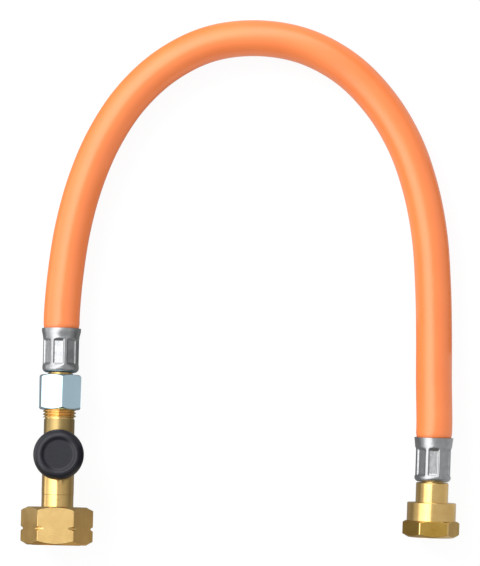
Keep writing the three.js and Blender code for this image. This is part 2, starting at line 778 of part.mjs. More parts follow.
// A round body, given by its half section, pressed in by eight flat indents. Its indents'
// floors lie the indent depth below the given radius, and spread makes each one larger.
function crimped(section, radius, indent, turn, spread) {
  const [from, to] = indent;
  const height = 3;
  const floor = radius - INDENT_DEPTH;
  const width = INDENT_WIDTH + 2 * spread;
  const block = new THREE.BoxGeometry(width, to - from + 2 * spread, height);
  const corners = block.getAttribute("position");
  for (let i = 0; i < corners.count; i++) {
    if (corners.getZ(i) < 0) continue;
    const side = Math.sign(corners.getX(i)) * height * INDENT_SIDE_SLOPE;
    const end = Math.sign(corners.getY(i)) * height * INDENT_END_SLOPE;
    corners.setX(i, corners.getX(i) + side);
    corners.setY(i, corners.getY(i) + end);
  }
  block.translate(0, (from + to) / 2, floor + height / 2);
  let body = solid(turned(section));
  for (let i = 0; i < INDENTS; i++) {
    const angle = THREE.MathUtils.degToRad(turn + (360 / INDENTS) * i);
    body = body.subtract(solid(block.clone().rotateY(angle)));
  }
  return body;
}

// The half section of the ferrule's outside, or of the space in it where inward is above 0.
function ferruleSection(lip, inward, foot, top) {
  const [flareFrom, flareTo] = lip;
  const radius = FERRULE_RADIUS - inward;
  const mouth = FERRULE_MOUTH - inward / 2;
  const toe = radius - FERRULE_ROUND;
  const round = quarterRound(radius, foot + FERRULE_ROUND, toe, foot, 4).reverse();
  return [
    [0, foot],
    ...round,
    [radius, FERRULE_LENGTH - flareFrom],
    [mouth, FERRULE_LENGTH - flareTo],
    [mouth, top],
    [0, top],
  ];
}

// The space that the hose fills inside a ferrule, which is inset by clearance.
function ferruleSpace(lip, indent, turn, clearance, top) {
  const inward = FERRULE_WALL + clearance;
  const section = ferruleSection(lip, inward, FERRULE_FOOT + clearance, top);
  return crimped(section, FERRULE_RADIUS - inward, indent, turn, inward);
}

function ferrule(name, foot, lip, indent, turn) {
  const outside = crimped(
    ferruleSection(lip, 0, 0, FERRULE_LENGTH),
    FERRULE_RADIUS,
    indent,
    turn,
    0,
  );
  const space = ferruleSpace(lip, indent, turn, 0, FERRULE_LENGTH + PAST);
  const hole = turned(disc(TAIL_NECK_RADIUS + GAP, -PAST, FERRULE_FOOT + PAST));
  const shell = outside.subtract(space).subtract(solid(hole));
  return piece(name, geometryOf(shell).translate(0, foot, 0), zinc());
}

// Placing

// A fitting lies on its side. It touches the surface with the edge of its nut and, where the
// hose doesn't lift it, with the widest of its other parts, so its hose end points slightly
// down. Each support is [distance from the nut's open end, reach below the axis], with the
// nut's first.
function laid(meshes, length, mouth, lean, lift, supports) {
  const [[nutAt, nutReach], ...others] = supports;
  const slopes = others.map(([at, reach]) => Math.atan2(nutReach - reach, at - nutAt));
  const pitch = Math.min(...slopes) - THREE.MathUtils.degToRad(lift);
  const group = new THREE.Group();
  group.rotation.order = "ZYX";
  group.rotation.x = -pitch;
  group.rotation.z = -THREE.MathUtils.degToRad(lean);
  const along = new THREE.Vector3(0, 1, 0).applyEuler(group.rotation);
  const height = nutAt * Math.sin(pitch) + nutReach * Math.cos(pitch);
  group.position.set(mouth[0] - along.x * length, mouth[1] - along.y * length, height);
  group.add(...meshes);
  group.updateMatrixWorld(true);
  return group;
}

function leftFitting() {
  const nutReach = hexReach(BOTTLE_NUT_FLATS, 0);
  const button = new THREE.Group();
  button.rotation.x = Math.PI / 2;
  button.position.y = buttonAt;
  button.add(buttonGland(), stemSeal(), buttonStem(), stemClip(), buttonSpring(), buttonCap());
  const rolled = new THREE.Group();
  rolled.rotation.y = THREE.MathUtils.degToRad(LEFT_ROLL);
  rolled.add(valveBody(), poppet(), button);
  const meshes = [
    bottleNut(),
    bottleNipple(),
    bottleSeal(),
    rolled,
    poppetRetainer(),
    poppetSeal(),
    poppetSpring(),
    capNut(),
    cuttingRing(),
    leftTail(),
    ferrule("left_ferrule", leftFerruleFoot, LEFT_LIP, LEFT_INDENT, LEFT_INDENT_TURN),
  ];
  return laid(meshes, leftLength, LEFT_MOUTH, LEFT_LEAN, 0, [
    [BOTTLE_NUT_LENGTH - BOTTLE_NUT_INSET / HEX_CHAMFER_SLOPE, nutReach],
    [capNutTop - CAP_NUT_INSET, hexReach(CAP_NUT_FLATS, HEX_HALF_SIDE - CAP_NUT_TURN)],
    [leftLength, FERRULE_MOUTH],
  ]);
}

function rightFitting() {
  const meshes = [
    regulatorNut(),
    rightTail(),
    regulatorSeal(),
    ferrule("right_ferrule", rightFerruleFoot, RIGHT_LIP, RIGHT_INDENT, RIGHT_INDENT_TURN),
  ];
  const hexEdge = REGULATOR_HEX_LENGTH - REGULATOR_NUT_INSET / HEX_CHAMFER_SLOPE;
  return laid(meshes, rightLength, RIGHT_MOUTH, RIGHT_LEAN, RIGHT_LIFT, [
    [hexEdge, hexReach(REGULATOR_NUT_FLATS, REGULATOR_NUT_TURN)],
    [regulatorNutLength - COLLAR_EDGE, REGULATOR_COLLAR_RADIUS],
    [rightLength, FERRULE_MOUTH],
  ]);
}

// The hose's middle line: straight inside each ferrule and just outside it, and along the
// surface between.
function hoseLine(left, right) {
  const on = (fitting, at) => new THREE.Vector3(0, at, 0).applyMatrix4(fitting.matrixWorld);
  const ends = (fitting, length) =>
    [-HOSE_INSERT, -HOSE_INSERT / 2, 0, HOSE_LEAD].map((past) => on(fitting, length + past));
  const route = HOSE_ROUTE.map((place) => new THREE.Vector3(...place));
  const points = [...ends(left, leftLength), ...route, ...ends(right, rightLength).reverse()];
  return new THREE.CatmullRomCurve3(points, false, "centripetal");
}

// What the crimp takes from the hose inside a ferrule.
function crimpCutter(fitting, length, lip, indent, turn) {
  const around = turned(disc(2 * HOSE_RADIUS, 0, FERRULE_LENGTH));
  const kept = ferruleSpace(lip, indent, turn, GAP, FERRULE_LENGTH + PAST);
  const cutter = geometryOf(solid(around).subtract(kept));
  cutter.translate(0, length - FERRULE_LENGTH, 0);
  return solid(cutter.applyMatrix4(fitting.matrixWorld));
}

function hose(left, right) {
  const section = new THREE.Shape(polygon(HOSE_RADIUS, HOSE_SIDES));
  section.holes.push(new THREE.Path(polygon(HOSE_BORE, HOSE_SIDES)));
  const extrudePath = hoseLine(left, right);
  const options = { steps: HOSE_STEPS, extrudePath, bevelEnabled: false };
  const tube = solid(new THREE.ExtrudeGeometry(section, options))
    .subtract(crimpCutter(left, leftLength, LEFT_LIP, LEFT_INDENT, LEFT_INDENT_TURN))
    .subtract(crimpCutter(right, rightLength, RIGHT_LIP, RIGHT_INDENT, RIGHT_INDENT_TURN));
  return piece("hose", geometryOf(tube), orangeRubber());
}

const left = leftFitting();
const right = rightFitting();
const gasHose = new THREE.Group();
gasHose.add(left, right, hose(left, right));

export default gasHose;
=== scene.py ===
"""A flexible gas hose that lies in a wide arch on a pale floor.

An orange rubber hose joins two brass fittings. The left fitting screws on a gas bottle and
holds an excess flow valve with a round push button. The right one screws on a regulator.
Each fitting is made in millimetres about its own axis, with Y from the open end of its nut
towards the hose and Z up, and is laid where the frame's joints say.
"""

from __future__ import annotations

import json
import logging
import math
from collections.abc import Callable, Sequence
from dataclasses import dataclass
from enum import Enum

import bmesh
import bpy
from mathutils import Matrix, Vector


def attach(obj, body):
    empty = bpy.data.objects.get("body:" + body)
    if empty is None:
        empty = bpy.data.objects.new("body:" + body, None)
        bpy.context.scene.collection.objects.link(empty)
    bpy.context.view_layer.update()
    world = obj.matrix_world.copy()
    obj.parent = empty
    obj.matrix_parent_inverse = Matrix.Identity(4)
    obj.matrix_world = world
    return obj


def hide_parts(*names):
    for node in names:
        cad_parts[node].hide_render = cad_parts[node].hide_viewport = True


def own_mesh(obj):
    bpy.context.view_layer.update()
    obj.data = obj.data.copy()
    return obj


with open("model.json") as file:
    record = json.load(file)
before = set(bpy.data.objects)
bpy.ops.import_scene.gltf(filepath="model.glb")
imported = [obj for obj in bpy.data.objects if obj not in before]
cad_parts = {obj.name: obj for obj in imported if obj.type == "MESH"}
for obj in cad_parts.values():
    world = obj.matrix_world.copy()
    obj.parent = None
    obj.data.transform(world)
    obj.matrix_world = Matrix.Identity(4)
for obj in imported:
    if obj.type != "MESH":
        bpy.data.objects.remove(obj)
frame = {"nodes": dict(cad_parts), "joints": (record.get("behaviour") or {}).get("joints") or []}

LOG = logging.getLogger("gas_hose")
MM = 0.001
SMOOTH_LIMIT = math.radians(40)
WHITE = (1.0, 1.0, 1.0)
BLACK = (0.0, 0.0, 0.0)

# In millimetres: the clearance between two pieces, what shows of it, and the fillets in use
GAP = 0.3
SEAM = 0.06
HAIR_EDGE = 0.08
FINE_EDGE = 0.15
SMALL_EDGE = 0.2
EDGE = 0.3
SOFT_EDGE = 0.4

# Sides of a turned piece, parts of a fillet, and the distance at which vertices are welded
ROUND = 96
FILLET_PARTS = 3
WELD = 1e-3


class Hand(Enum):
    """Which way a thread or a spring winds."""

    RIGHT = 1
    LEFT = -1


class Body(Enum):
    """The bodies that a piece rides on."""

    HOSE = "hose_assembly"
    BOTTLE_NUT = "bottle_nut"
    REGULATOR_NUT = "regulator_nut"
    BUTTON = "button"
    POPPET = "poppet"


class Slot(Enum):
    """The record's material slots."""

    BRASS = "brass"
    ZINC = "zinc"
    BLUE_ZINC = "blue_zinc"
    STEEL = "steel"
    BLACK_RUBBER = "black_rubber"
    BLACK_PLASTIC = "black_plastic"
    ORANGE_RUBBER = "orange_rubber"


# Materials


class Graph:
    """The node tree of one material or world."""

    def __init__(self, tree: bpy.types.NodeTree) -> None:
        """Empties the tree.

        Args:
            tree: The tree to fill.
        """
        self.tree = tree
        self.tree.nodes.clear()

    def node(
        self, kind: str, settings: dict | None = None, sockets: dict | None = None
    ) -> bpy.types.Node:
        """Adds a node.

        Args:
            kind: The node's type.
            settings: Its properties, and a ramp's stops as (place, colour) pairs.
            sockets: The values or links of its inputs, by name or number.

        Returns:
            The node.
        """
        made = self.tree.nodes.new(kind)
        for name, value in (settings or {}).items():
            if name == "stops":
                self.fill_ramp(made.color_ramp, value)
            else:
                setattr(made, name, value)
        for key, value in (sockets or {}).items():
            self.feed(self.input_of(made, key), value)
        return made

    def fill_ramp(self, ramp: bpy.types.ColorRamp, stops: Sequence[tuple]) -> None:
        """Gives a ramp its stops.

        Args:
            ramp: The ramp to fill.
            stops: Its (place, colour) pairs.
        """
        while len(ramp.elements) < len(stops):
            ramp.elements.new(1.0)
        for element, (place, color) in zip(ramp.elements, stops):
            element.position = place
            element.color = (*color, 1.0)

    def input_of(self, node: bpy.types.Node, key: str | int) -> bpy.types.NodeSocket:
        """Finds an input of a node.

        Args:
            node: The node.
            key: The input's number, or its name among those in use.

        Returns:
            The input.
        """
        if isinstance(key, int):
            return node.inputs[key]
        return next(s for s in node.inputs if s.name == key and s.enabled)

    def feed(self, socket: bpy.types.NodeSocket, value: object) -> None:
        """Links an input or sets its own value.

        Args:
            socket: The input.
            value: A link, a colour or a number.
        """
        if isinstance(value, Link):
            self.tree.links.new(value.socket, socket)
        elif isinstance(value, tuple) and len(value) == 3 and socket.type == "RGBA":
            socket.default_value = (*value, 1.0)
        else:
            socket.default_value = value

    def link(self, node: bpy.types.Node, name: str) -> Link:
        """Wraps a node's output that is in use, by its name."""
        return Link(self, next(s for s in node.outputs if s.name == name and s.enabled))

    def coordinates(self, output: str) -> Link:
        """Gives an output of the Texture Coordinate node."""
        return self.link(self.node("ShaderNodeTexCoord"), output)

    def axes(self, vector: Link) -> list[Link]:
        """Splits a vector into its X, Y and Z."""
        parts = self.node("ShaderNodeSeparateXYZ", {}, {"Vector": vector})
        return [self.link(parts, axis) for axis in "XYZ"]

    def grays(self, stops: Sequence[tuple[float, float]], place: Link) -> Link:
        """Reads a ramp of (place, level) stops at a place."""
        filled = {"stops": [(at, (level,) * 3) for at, level in stops]}
        return self.link(self.node("ShaderNodeValToRGB", filled, {"Fac": place}), "Color")

    def math(self, operation: str, *values: object) -> Link:
        """Adds a Math node on these values."""
        made = self.node("ShaderNodeMath", {"operation": operation}, dict(enumerate(values)))
        return self.link(made, "Value")

    def mix(self, factor: object, low: object, high: object) -> Link:
        """Mixes two colours by a factor."""
        sockets = {"Factor": factor, "A": low, "B": high}
        return self.link(self.node("ShaderNodeMix", {"data_type": "RGBA"}, sockets), "Result")

    def noise(self, scale: float, detail: float, place: Link, flat: bool = False) -> Link:
        """Adds a noise of 0 to 1.

        Args:
            scale: Features per unit of place.
            detail: Octaves.
            place: Where it is read, a vector, or a number when flat.
            flat: Whether it varies along one number only.

        Returns:
            The noise.
        """
        made = self.node(
            "ShaderNodeTexNoise",
            {"noise_dimensions": "1D" if flat else "3D"},
            {"Scale": scale, "Detail": detail, "W" if flat else "Vector": place},
        )
        return self.link(made, "Fac")


class Link:
    """A node's output on which sums can be written."""

    def __init__(self, graph: Graph, socket: bpy.types.NodeSocket) -> None:
        """Wraps an output socket of the graph."""
        self.graph = graph
        self.socket = socket

    def __add__(self, other: object) -> Link:
        """Adds."""
        return self.graph.math("ADD", self, other)

    def __radd__(self, other: object) -> Link:
        """Adds, from the right."""
        return self.graph.math("ADD", other, self)

    def __sub__(self, other: object) -> Link:
        """Subtracts."""
        return self.graph.math("SUBTRACT", self, other)

    def __rsub__(self, other: object) -> Link:
        """Subtracts from a number."""
        return self.graph.math("SUBTRACT", other, self)

    def __mul__(self, other: object) -> Link:
        """Multiplies."""
        return self.graph.math("MULTIPLY", self, other)

    def __rmul__(self, other: object) -> Link:
        """Multiplies, from the right."""
        return self.graph.math("MULTIPLY", other, self)

    def __truediv__(self, other: object) -> Link:
        """Divides."""
        return self.graph.math("DIVIDE", self, other)

    def __pow__(self, other: object) -> Link:
        """Raises to a power."""
        return self.graph.math("POWER", self, other)

    def between(self, low: float, high: float) -> Link:
        """Runs smoothly from 0 to 1.

        Args:
            low: Where it starts.
            high: Where it ends.

        Returns:
            The way done.
        """
        sockets = {"Value": self, "From Min": low, "From Max": high}
        smooth = {"interpolation_type": "SMOOTHSTEP"}
        return self.graph.link(self.graph.node("ShaderNodeMapRange", smooth, sockets), "Result")


def new_material(name: str) -> tuple[bpy.types.Material, Graph]:
    """Makes an empty material.

    Args:
        name: Its name.

    Returns:
        The material and its graph.
    """
    made = bpy.data.materials.new(name)
    made.use_nodes = True
    return made, Graph(made.node_tree)


def put(name: str, data: bpy.types.ID) -> bpy.types.Object:
    """Puts data into the scene.

    Args:
        name: The object's name.
        data: Its mesh, lamp or camera.

    Returns:
        The object.
    """
    made = bpy.data.objects.new(name, data)
    bpy.context.scene.collection.objects.link(made)
    return made


@dataclass(frozen=True)
class Finish:
    """A finish: its slot, colour, gloss and grain, with scales in parts per millimetre."""

    name: str
    slot: Slot
    color: tuple[float, float, float]
    shade: tuple[float, float, float]
    roughness: float
    metallic: float = 0.0
    mottle: float = 0.15
    grain: float = 1.5
    grain_depth: float = 0.0
    rings: float = 0.0
    ring_depth: float = 0.0
    unevenness: float = 0.05
    specular: float = 0.5
    ior: float = 1.5
    contrast: float = 2.2

    def material(self, place: Matrix) -> bpy.types.Material:
        """Makes the finish for a piece that lies about a fitting's axis.

        Args:
            place: The fitting's place, in metres.

        Returns:
            The material.
        """
        made, graph = new_material(self.name)
        at = self.millimetres(graph, place)
        mottle = graph.noise(self.mottle, detail=3.0, place=at)
        height = graph.noise(self.grain, detail=2.0, place=at) * self.grain_depth
        gloss = self.roughness + (mottle - 0.5) * self.unevenness
        if self.ring_depth:
            rings = self.ring_marks(graph, at)
            height = height + rings * self.ring_depth
            gloss = gloss + (rings - 0.5) * self.unevenness
        bump = graph.node("ShaderNodeBump", {}, {"Distance": MM, "Height": height})
        blotch = ((mottle - 0.5) * self.contrast + 0.5).between(0.0, 1.0)
        surface = graph.node(
            "ShaderNodeBsdfPrincipled",
            {},
            {
                "Base Color": graph.mix(blotch, self.shade, self.color),
                "Roughness": gloss,
                "Metallic": self.metallic,
                "Specular IOR Level": self.specular,
                "IOR": self.ior,
                "Normal": graph.link(bump, "Normal"),
            },
        )
        graph.node("ShaderNodeOutputMaterial", {}, {"Surface": graph.link(surface, "BSDF")})
        return made

    def millimetres(self, graph: Graph, place: Matrix) -> Link:
        """Gives the place on the piece.

        Args:
            graph: The finish's graph.
            place: The fitting's place, in metres.

        Returns:
            The place, in millimetres about the fitting's axis.
        """
        turned = graph.node(
            "ShaderNodeMapping",
            {"vector_type": "TEXTURE"},
            {
                "Vector": graph.coordinates("Object"),
                "Location": tuple(place.translation),
                "Rotation": tuple(place.to_euler()),
                "Scale": (MM, MM, MM),
            },
        )
        return graph.link(turned, "Vector")

    def ring_marks(self, graph: Graph, at: Link) -> Link:
        """Gives the marks that a lathe leaves round the axis.

        Args:
            graph: The finish's graph.
            at: The place on the piece.

        Returns:
            The marks, of 0 to 1.
        """
        x, y, z = graph.axes(at)
        reach = (x * x + z * z) ** 0.5
        return graph.noise(self.rings, detail=1.0, place=y + reach, flat=True)


BRASS = (0.85, 0.58, 0.225)
BRASS_SHADE = (0.79, 0.52, 0.19)
SAWN_BRASS = (0.59, 0.405, 0.158)
SAWN_BRASS_SHADE = (0.52, 0.34, 0.123)
DULL_BRASS = (0.46, 0.33, 0.135)
DULL_BRASS_SHADE = (0.41, 0.29, 0.115)
BAR_BRASS = (0.57, 0.36, 0.085)
BAR_BRASS_SHADE = (0.49, 0.295, 0.06)

TURNED_BRASS = Finish(
    "turned_brass", Slot.BRASS, BRASS, BRASS_SHADE, 0.16, 1.0, rings=4.0, ring_depth=0.004
)
MILLED_BRASS = Finish(
    "milled_brass", Slot.BRASS, SAWN_BRASS, SAWN_BRASS_SHADE, 0.34, 0.75, grain=1.6,
    grain_depth=0.06,
)
PLAIN_BRASS = Finish(
    "plain_brass", Slot.BRASS, DULL_BRASS, DULL_BRASS_SHADE, 0.34, 1.0, rings=4.0, ring_depth=0.006
)
DRAWN_BRASS = Finish(
    "drawn_brass", Slot.BRASS, BAR_BRASS, BAR_BRASS_SHADE, 0.28, 1.0, grain=2.4, grain_depth=0.008
)
BRIGHT_ZINC = Finish(
    "bright_zinc", Slot.ZINC, (0.45, 0.455, 0.46), (0.375, 0.385, 0.395), 0.31, 1.0, mottle=0.4,
    grain=1.3, grain_depth=0.06,
)
BLUE_ZINC = Finish(
    "blue_zinc", Slot.BLUE_ZINC, (0.56, 0.75, 0.86), (0.53, 0.72, 0.82), 0.14, 1.0, grain=2.0,
    grain_depth=0.004,
)
PLAIN_STEEL = Finish(
    "plain_steel", Slot.STEEL, (0.56, 0.57, 0.58), (0.48, 0.49, 0.5), 0.3, 1.0, grain=3.0,
    grain_depth=0.004,
)
BLACK_RUBBER = Finish(
    "black_rubber", Slot.BLACK_RUBBER, (0.025, 0.025, 0.027), (0.018, 0.018, 0.02), 0.7, grain=4.0,
    grain_depth=0.02,
)
SATIN_PLASTIC = Finish(
    "satin_plastic", Slot.BLACK_PLASTIC, (0.0125, 0.013, 0.0195), (0.0095, 0.01, 0.015), 0.32,
    grain=6.0, grain_depth=0.012, specular=0.4,
)
HOSE_RUBBER = Finish(
    "hose_rubber", Slot.ORANGE_RUBBER, (1.0, 0.24, 0.043), (0.98, 0.222, 0.038), 0.33,
    mottle=0.05, grain=2.5, grain_depth=0.015, unevenness=0.08, ior=1.9,
)


# Meshes


@dataclass(frozen=True)
class Corner:
    """A corner of a turned section, in millimetres."""

    radius: float
    at: float
    fillet: float = 0.0


@dataclass(frozen=True)
class Thread:
    """A screw thread, in millimetres."""

    inner: float
    outer: float
    pitch: float
    land: float
    hand: Hand = Hand.RIGHT

    def outline(self, start: float, end: float) -> list[Corner]:
        """Gives the flanks.

        Args:
            start: Where the thread starts.
            end: Where it ends.

        Returns:
            Corners that reach a little past both.
        """
        corners = []
        spare = 2
        for turn in range(-spare, math.ceil((end - start) / self.pitch) + spare):
            foot = start + turn * self.pitch
            crest = foot + self.pitch / 2
            corners.append(Corner(self.inner, foot - self.land / 2))
            corners.append(Corner(self.inner, foot + self.land / 2))
            corners.append(Corner(self.outer, crest - self.land / 2))
            corners.append(Corner(self.outer, crest + self.land / 2))
        return corners


class Blank:
    """A mesh in the making, in millimetres, with Y as the axis that it is turned about."""

    def __init__(self) -> None:
        """Starts with nothing."""
        self.bm = bmesh.new()

    def wire(self, section: Sequence[Corner], closed: bool) -> list:
        """Lays a section as edges and rounds its corners.

        Args:
            section: The corners, in order.
            closed: Whether the last joins the first.

        Returns:
            The vertices and edges of the wire.
        """
        points = [self.bm.verts.new((c.radius, c.at, 0)) for c in section]
        for pair in zip(points, points[1:]):
            self.bm.edges.new(pair)
        if closed:
            self.bm.edges.new((points[-1], points[0]))
        for fillet in sorted({c.fillet for c in section if c.fillet}):
            bmesh.ops.bevel(
                self.bm,
                geom=[p for p, c in zip(points, section) if c.fillet == fillet],
                offset=fillet,
                affect="VERTICES",
                segments=FILLET_PARTS,
                profile=0.5,
                material=-1,
            )
        edges = [e for e in self.bm.edges if e.is_wire]
        return [*{v for e in edges for v in e.verts}, *edges]

    def turn(self, section: Sequence[Corner], sides: int = ROUND, closed: bool = True) -> Blank:
        """Adds a shape turned from its half section.

        Args:
            section: The corners, in order.
            sides: How many faces lie round the axis.
            closed: Whether the section closes on itself. One that starts and ends on the
                axis needs no closing.

        Returns:
            This blank.
        """
        on_axis = section[0].radius == 0 and section[-1].radius == 0
        self.spin(self.wire(section, closed and not on_axis), sides, math.tau, 0.0, True)
        return self

    def spin(self, geom: list, sides: int, angle: float, rise: float, merge: bool) -> None:
        """Spins geometry about the axis.

        Args:
            geom: The vertices and edges.
            sides: How many steps it takes.
            angle: How far it turns.
            rise: How far it rises at each step.
            merge: Whether the last step meets the first.
        """
        bmesh.ops.spin(
            self.bm,
            geom=geom,
            cent=(0, 0, 0),
            axis=(0, 1, 0),
            dvec=(0, rise, 0),
            angle=angle,
            steps=sides,
            use_merge=merge,
        )
        bmesh.ops.remove_doubles(self.bm, verts=self.bm.verts, dist=WELD)

    def slice(self, faces: list, at: Vector, outward: Vector) -> list:
        """Cuts faces by a plane and clears what lies outward of it.

        Args:
            faces: The faces.
            at: A point of the plane.
            outward: Its normal.

        Returns:
            The new edges along the cut.
        """
        geom = {g for f in faces for g in (f, *f.edges, *f.verts)}
        cut = bmesh.ops.bisect_plane(
            self.bm, geom=list(geom), dist=1e-5, plane_co=at, plane_no=outward, clear_outer=True
        )
        return [g for g in cut["geom_cut"] if isinstance(g, bmesh.types.BMEdge)]

    def cut_thread(self, thread: Thread, start: float, end: float) -> Blank:
        """Adds a thread's flanks between two open rims and closes the steps at its ends.

        Args:
            thread: The thread.
            start: Where the first rim lies.
            end: Where the other lies.

        Returns:
            This blank.
        """
        old = set(self.bm.faces)
        geom = self.wire(thread.outline(start, end), False)
        rise = thread.pitch / ROUND * thread.hand.value
        self.spin(geom, ROUND, math.tau, rise, False)
        for at, way in ((start, -1), (end, 1)):
            flanks = [f for f in self.bm.faces if f not in old]
            self.slice(flanks, Vector((0, at, 0)), Vector((0, way, 0)))
        for at in (start, end):
            rims = [
                e for e in self.bm.edges
                if e.is_boundary and all(abs(v.co.y - at) < WELD for v in e.verts)
            ]
            bmesh.ops.triangle_fill(
                self.bm, use_beauty=True, use_dissolve=False, edges=rims, normal=(0, 1, 0)
            )
        return self

    def mill_hexagon(self, flats: float) -> Blank:
        """Mills six flats, the first of them towards Z, which take the second material.

        Args:
            flats: The distance across them.

        Returns:
            This blank.
        """
        for side in range(6):
            outward = Matrix.Rotation(math.tau / 6 * side, 3, "Y") @ Vector((0, 0, 1))
            rim = self.slice(list(self.bm.faces), outward * flats / 2, outward)
            filled = bmesh.ops.holes_fill(self.bm, edges=rim, sides=0)
            for face in filled["faces"]:
                face.material_index = 1
        return self

    def round_over(self, edges: list, width: float) -> list:
        """Rounds edges.

        Args:
            edges: The edges.
            width: How far the rounding reaches on each side.

        Returns:
            The faces that this makes.
        """
        rounded = bmesh.ops.bevel(
            self.bm,
            geom=edges,
            offset=width,
            affect="EDGES",
            segments=2,
            profile=0.5,
            material=-1,
            clamp_overlap=False,
        )
        return rounded["faces"]

    def break_corners(self, width: float) -> Blank:
        """Rounds the corners between the flats, which get the first material there.

        Args:
            width: How far the rounding reaches on each side.

        Returns:
            This blank.
        """
        corners = [
            e for e in self.bm.edges
            if e.is_manifold and all(f.material_index == 1 for f in e.link_faces)
        ]
        for face in self.round_over(corners, width):
            face.material_index = 0
        return self

    def break_edges(self, width: float, limit: float = 35.0) -> Blank:
        """Rounds the sharp edges.

        Args:
            width: How far the rounding reaches on each side.
            limit: The angle past which an edge is sharp, in degrees.

        Returns:
            This blank.
        """
        sharp = [
            e for e in self.bm.edges
            if e.is_manifold and e.calc_face_angle() > math.radians(limit)
        ]
        self.round_over(sharp, width)
        return self

    def rotate(self, degrees: float) -> Blank:
        """Turns everything about the axis.

        Args:
            degrees: How far, from Z towards X.

        Returns:
            This blank.
        """
        turn = Matrix.Rotation(math.radians(degrees), 3, "Y")
        bmesh.ops.rotate(self.bm, cent=(0, 0, 0), matrix=turn, verts=self.bm.verts)
        return self

    def move(self, matrix: Matrix) -> Blank:
        """Moves everything by a matrix, in millimetres."""
        bmesh.ops.transform(self.bm, matrix=matrix, verts=self.bm.verts)
        return self

    def shape(self, place: Callable[[Vector], Vector]) -> Blank:
        """Moves each vertex.

        Args:
            place: Gives its new place from its old one.

        Returns:
            This blank.
        """
        for vertex in self.bm.verts:
            vertex.co = place(vertex.co)
        return self

    def object(self, name: str, place: Matrix, materials: Sequence) -> bpy.types.Object:
        """Makes the finished object.

        Args:
            name: The object's name.
            place: The fitting's place, in metres.
            materials: Its materials, in the order of their numbers.

        Returns:
            The object, which lies at the origin with its place in its mesh.
        """
        bmesh.ops.recalc_face_normals(self.bm, faces=self.bm.faces)
        for face in self.bm.faces:
            face.smooth = True
        mesh = bpy.data.meshes.new(name)
        self.bm.to_mesh(mesh)
        self.bm.free()
        mesh.transform(place @ Matrix.Scale(MM, 4))
        mesh.set_sharp_from_angle(angle=SMOOTH_LIMIT)
        for material in materials:
            mesh.materials.append(material)
        return put(name, mesh)


def weighted(piece: bpy.types.Object) -> None:
    """Keeps broad faces flat where narrow rounded ones meet them."""
    modifier = piece.modifiers.new("broad_faces", "WEIGHTED_NORMAL")
    modifier.keep_sharp = True


def carve(piece: bpy.types.Object, tool: bpy.types.Object, operation: str) -> None:
    """Joins a tool to a piece or cuts it away, and removes the tool.

    Args:
        piece: The piece.
        tool: The other object.
        operation: UNION or DIFFERENCE.
    """
    modifier = piece.modifiers.new("carve", "BOOLEAN")
    modifier.operation = operation
    modifier.object = tool
    modifier.solver = "EXACT"
    modifier.use_self = True
    graph = bpy.context.evaluated_depsgraph_get()
    carved = bpy.data.meshes.new_from_object(piece.evaluated_get(graph))
    piece.modifiers.remove(modifier)
    piece.data = carved
    bpy.data.objects.remove(tool)


def settle(piece: bpy.types.Object, body: Body, slot: Slot, node: str) -> bpy.types.Object:
    """Lets a piece ride on its body, in the place of its CAD node, and reports it.

    Args:
        piece: The piece.
        body: The body it rides on.
        slot: Its material slot, which is not used.
        node: The node it stands for.

    Returns:
        The piece.
    """
    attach(piece, body.value)
    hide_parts(node)
    LOG.info("%s: %d faces, rides on %s", piece.name, len(piece.data.polygons), body.value)
    return piece


def lay(
    blank: Blank, node: str, place: Matrix, *finishes: Finish, body: Body = Body.HOSE
) -> bpy.types.Object:
    """Makes a blank into the piece that stands for a CAD node.

    Args:
        blank: The blank.
        node: The node.
        place: The fitting's place, in metres.
        finishes: The piece's finishes, in the order of their numbers.
        body: The body it rides on.

    Returns:
        The piece.
    """
    materials = [finish.material(place) for finish in finishes]
    piece = blank.object(f"{node}_fine", place, materials)
    weighted(piece)
    return settle(piece, body, finishes[0].slot, node)


def ring(inner: float, outer: float, foot: float, top: float, fillet: float) -> Blank:
    """Turns a ring with its four corners rounded.

    Args:
        inner: Its inner radius.
        outer: Its outer radius.
        foot: Where it starts.
        top: Where it ends.
        fillet: Its corners' radius.

    Returns:
        The ring.
    """
    corners = ((inner, foot), (outer, foot), (outer, top), (inner, top))
    return Blank().turn([Corner(radius, at, fillet) for radius, at in corners])


def chamfer_of(flats: float, inset: float) -> tuple[float, float, float]:
    """Gives the 30 degree chamfer that is turned on a hexagon's blank.

    Args:
        flats: The distance across the hexagon's flats.
        inset: How far inside the flats the chamfer starts.

    Returns:
        The blank's radius, the chamfer's inner radius and its height.
    """
    wide = flats / math.sqrt(3) + 1
    narrow = flats / 2 - inset
    return wide, narrow, (wide - narrow) / math.sqrt(3)


def spring(radius: float, foot: float, top: float, turns: float, wire: float) -> Blank:
    """Winds a coil spring of round wire.

    Args:
        radius: The coil's middle radius.
        foot: The face it stands on.
        top: The face above it.
        turns: How many turns it has.
        wire: The wire's radius.

    Returns:
        The spring.
    """
    blank = Blank()
    sides, steps = 10, 36
    middle = Matrix.Translation((radius, foot + GAP + wire, 0))
    bmesh.ops.create_circle(blank.bm, cap_ends=False, segments=sides, radius=wire, matrix=middle)
    rise = (top - foot - 2 * (GAP + wire)) / (turns * steps)
    geom = [*blank.bm.verts, *blank.bm.edges]
    blank.spin(geom, round(turns * steps), math.tau * turns, rise, False)
    ends = [e for e in blank.bm.edges if e.is_boundary]
    bmesh.ops.holes_fill(blank.bm, edges=ends, sides=0)
    return blank


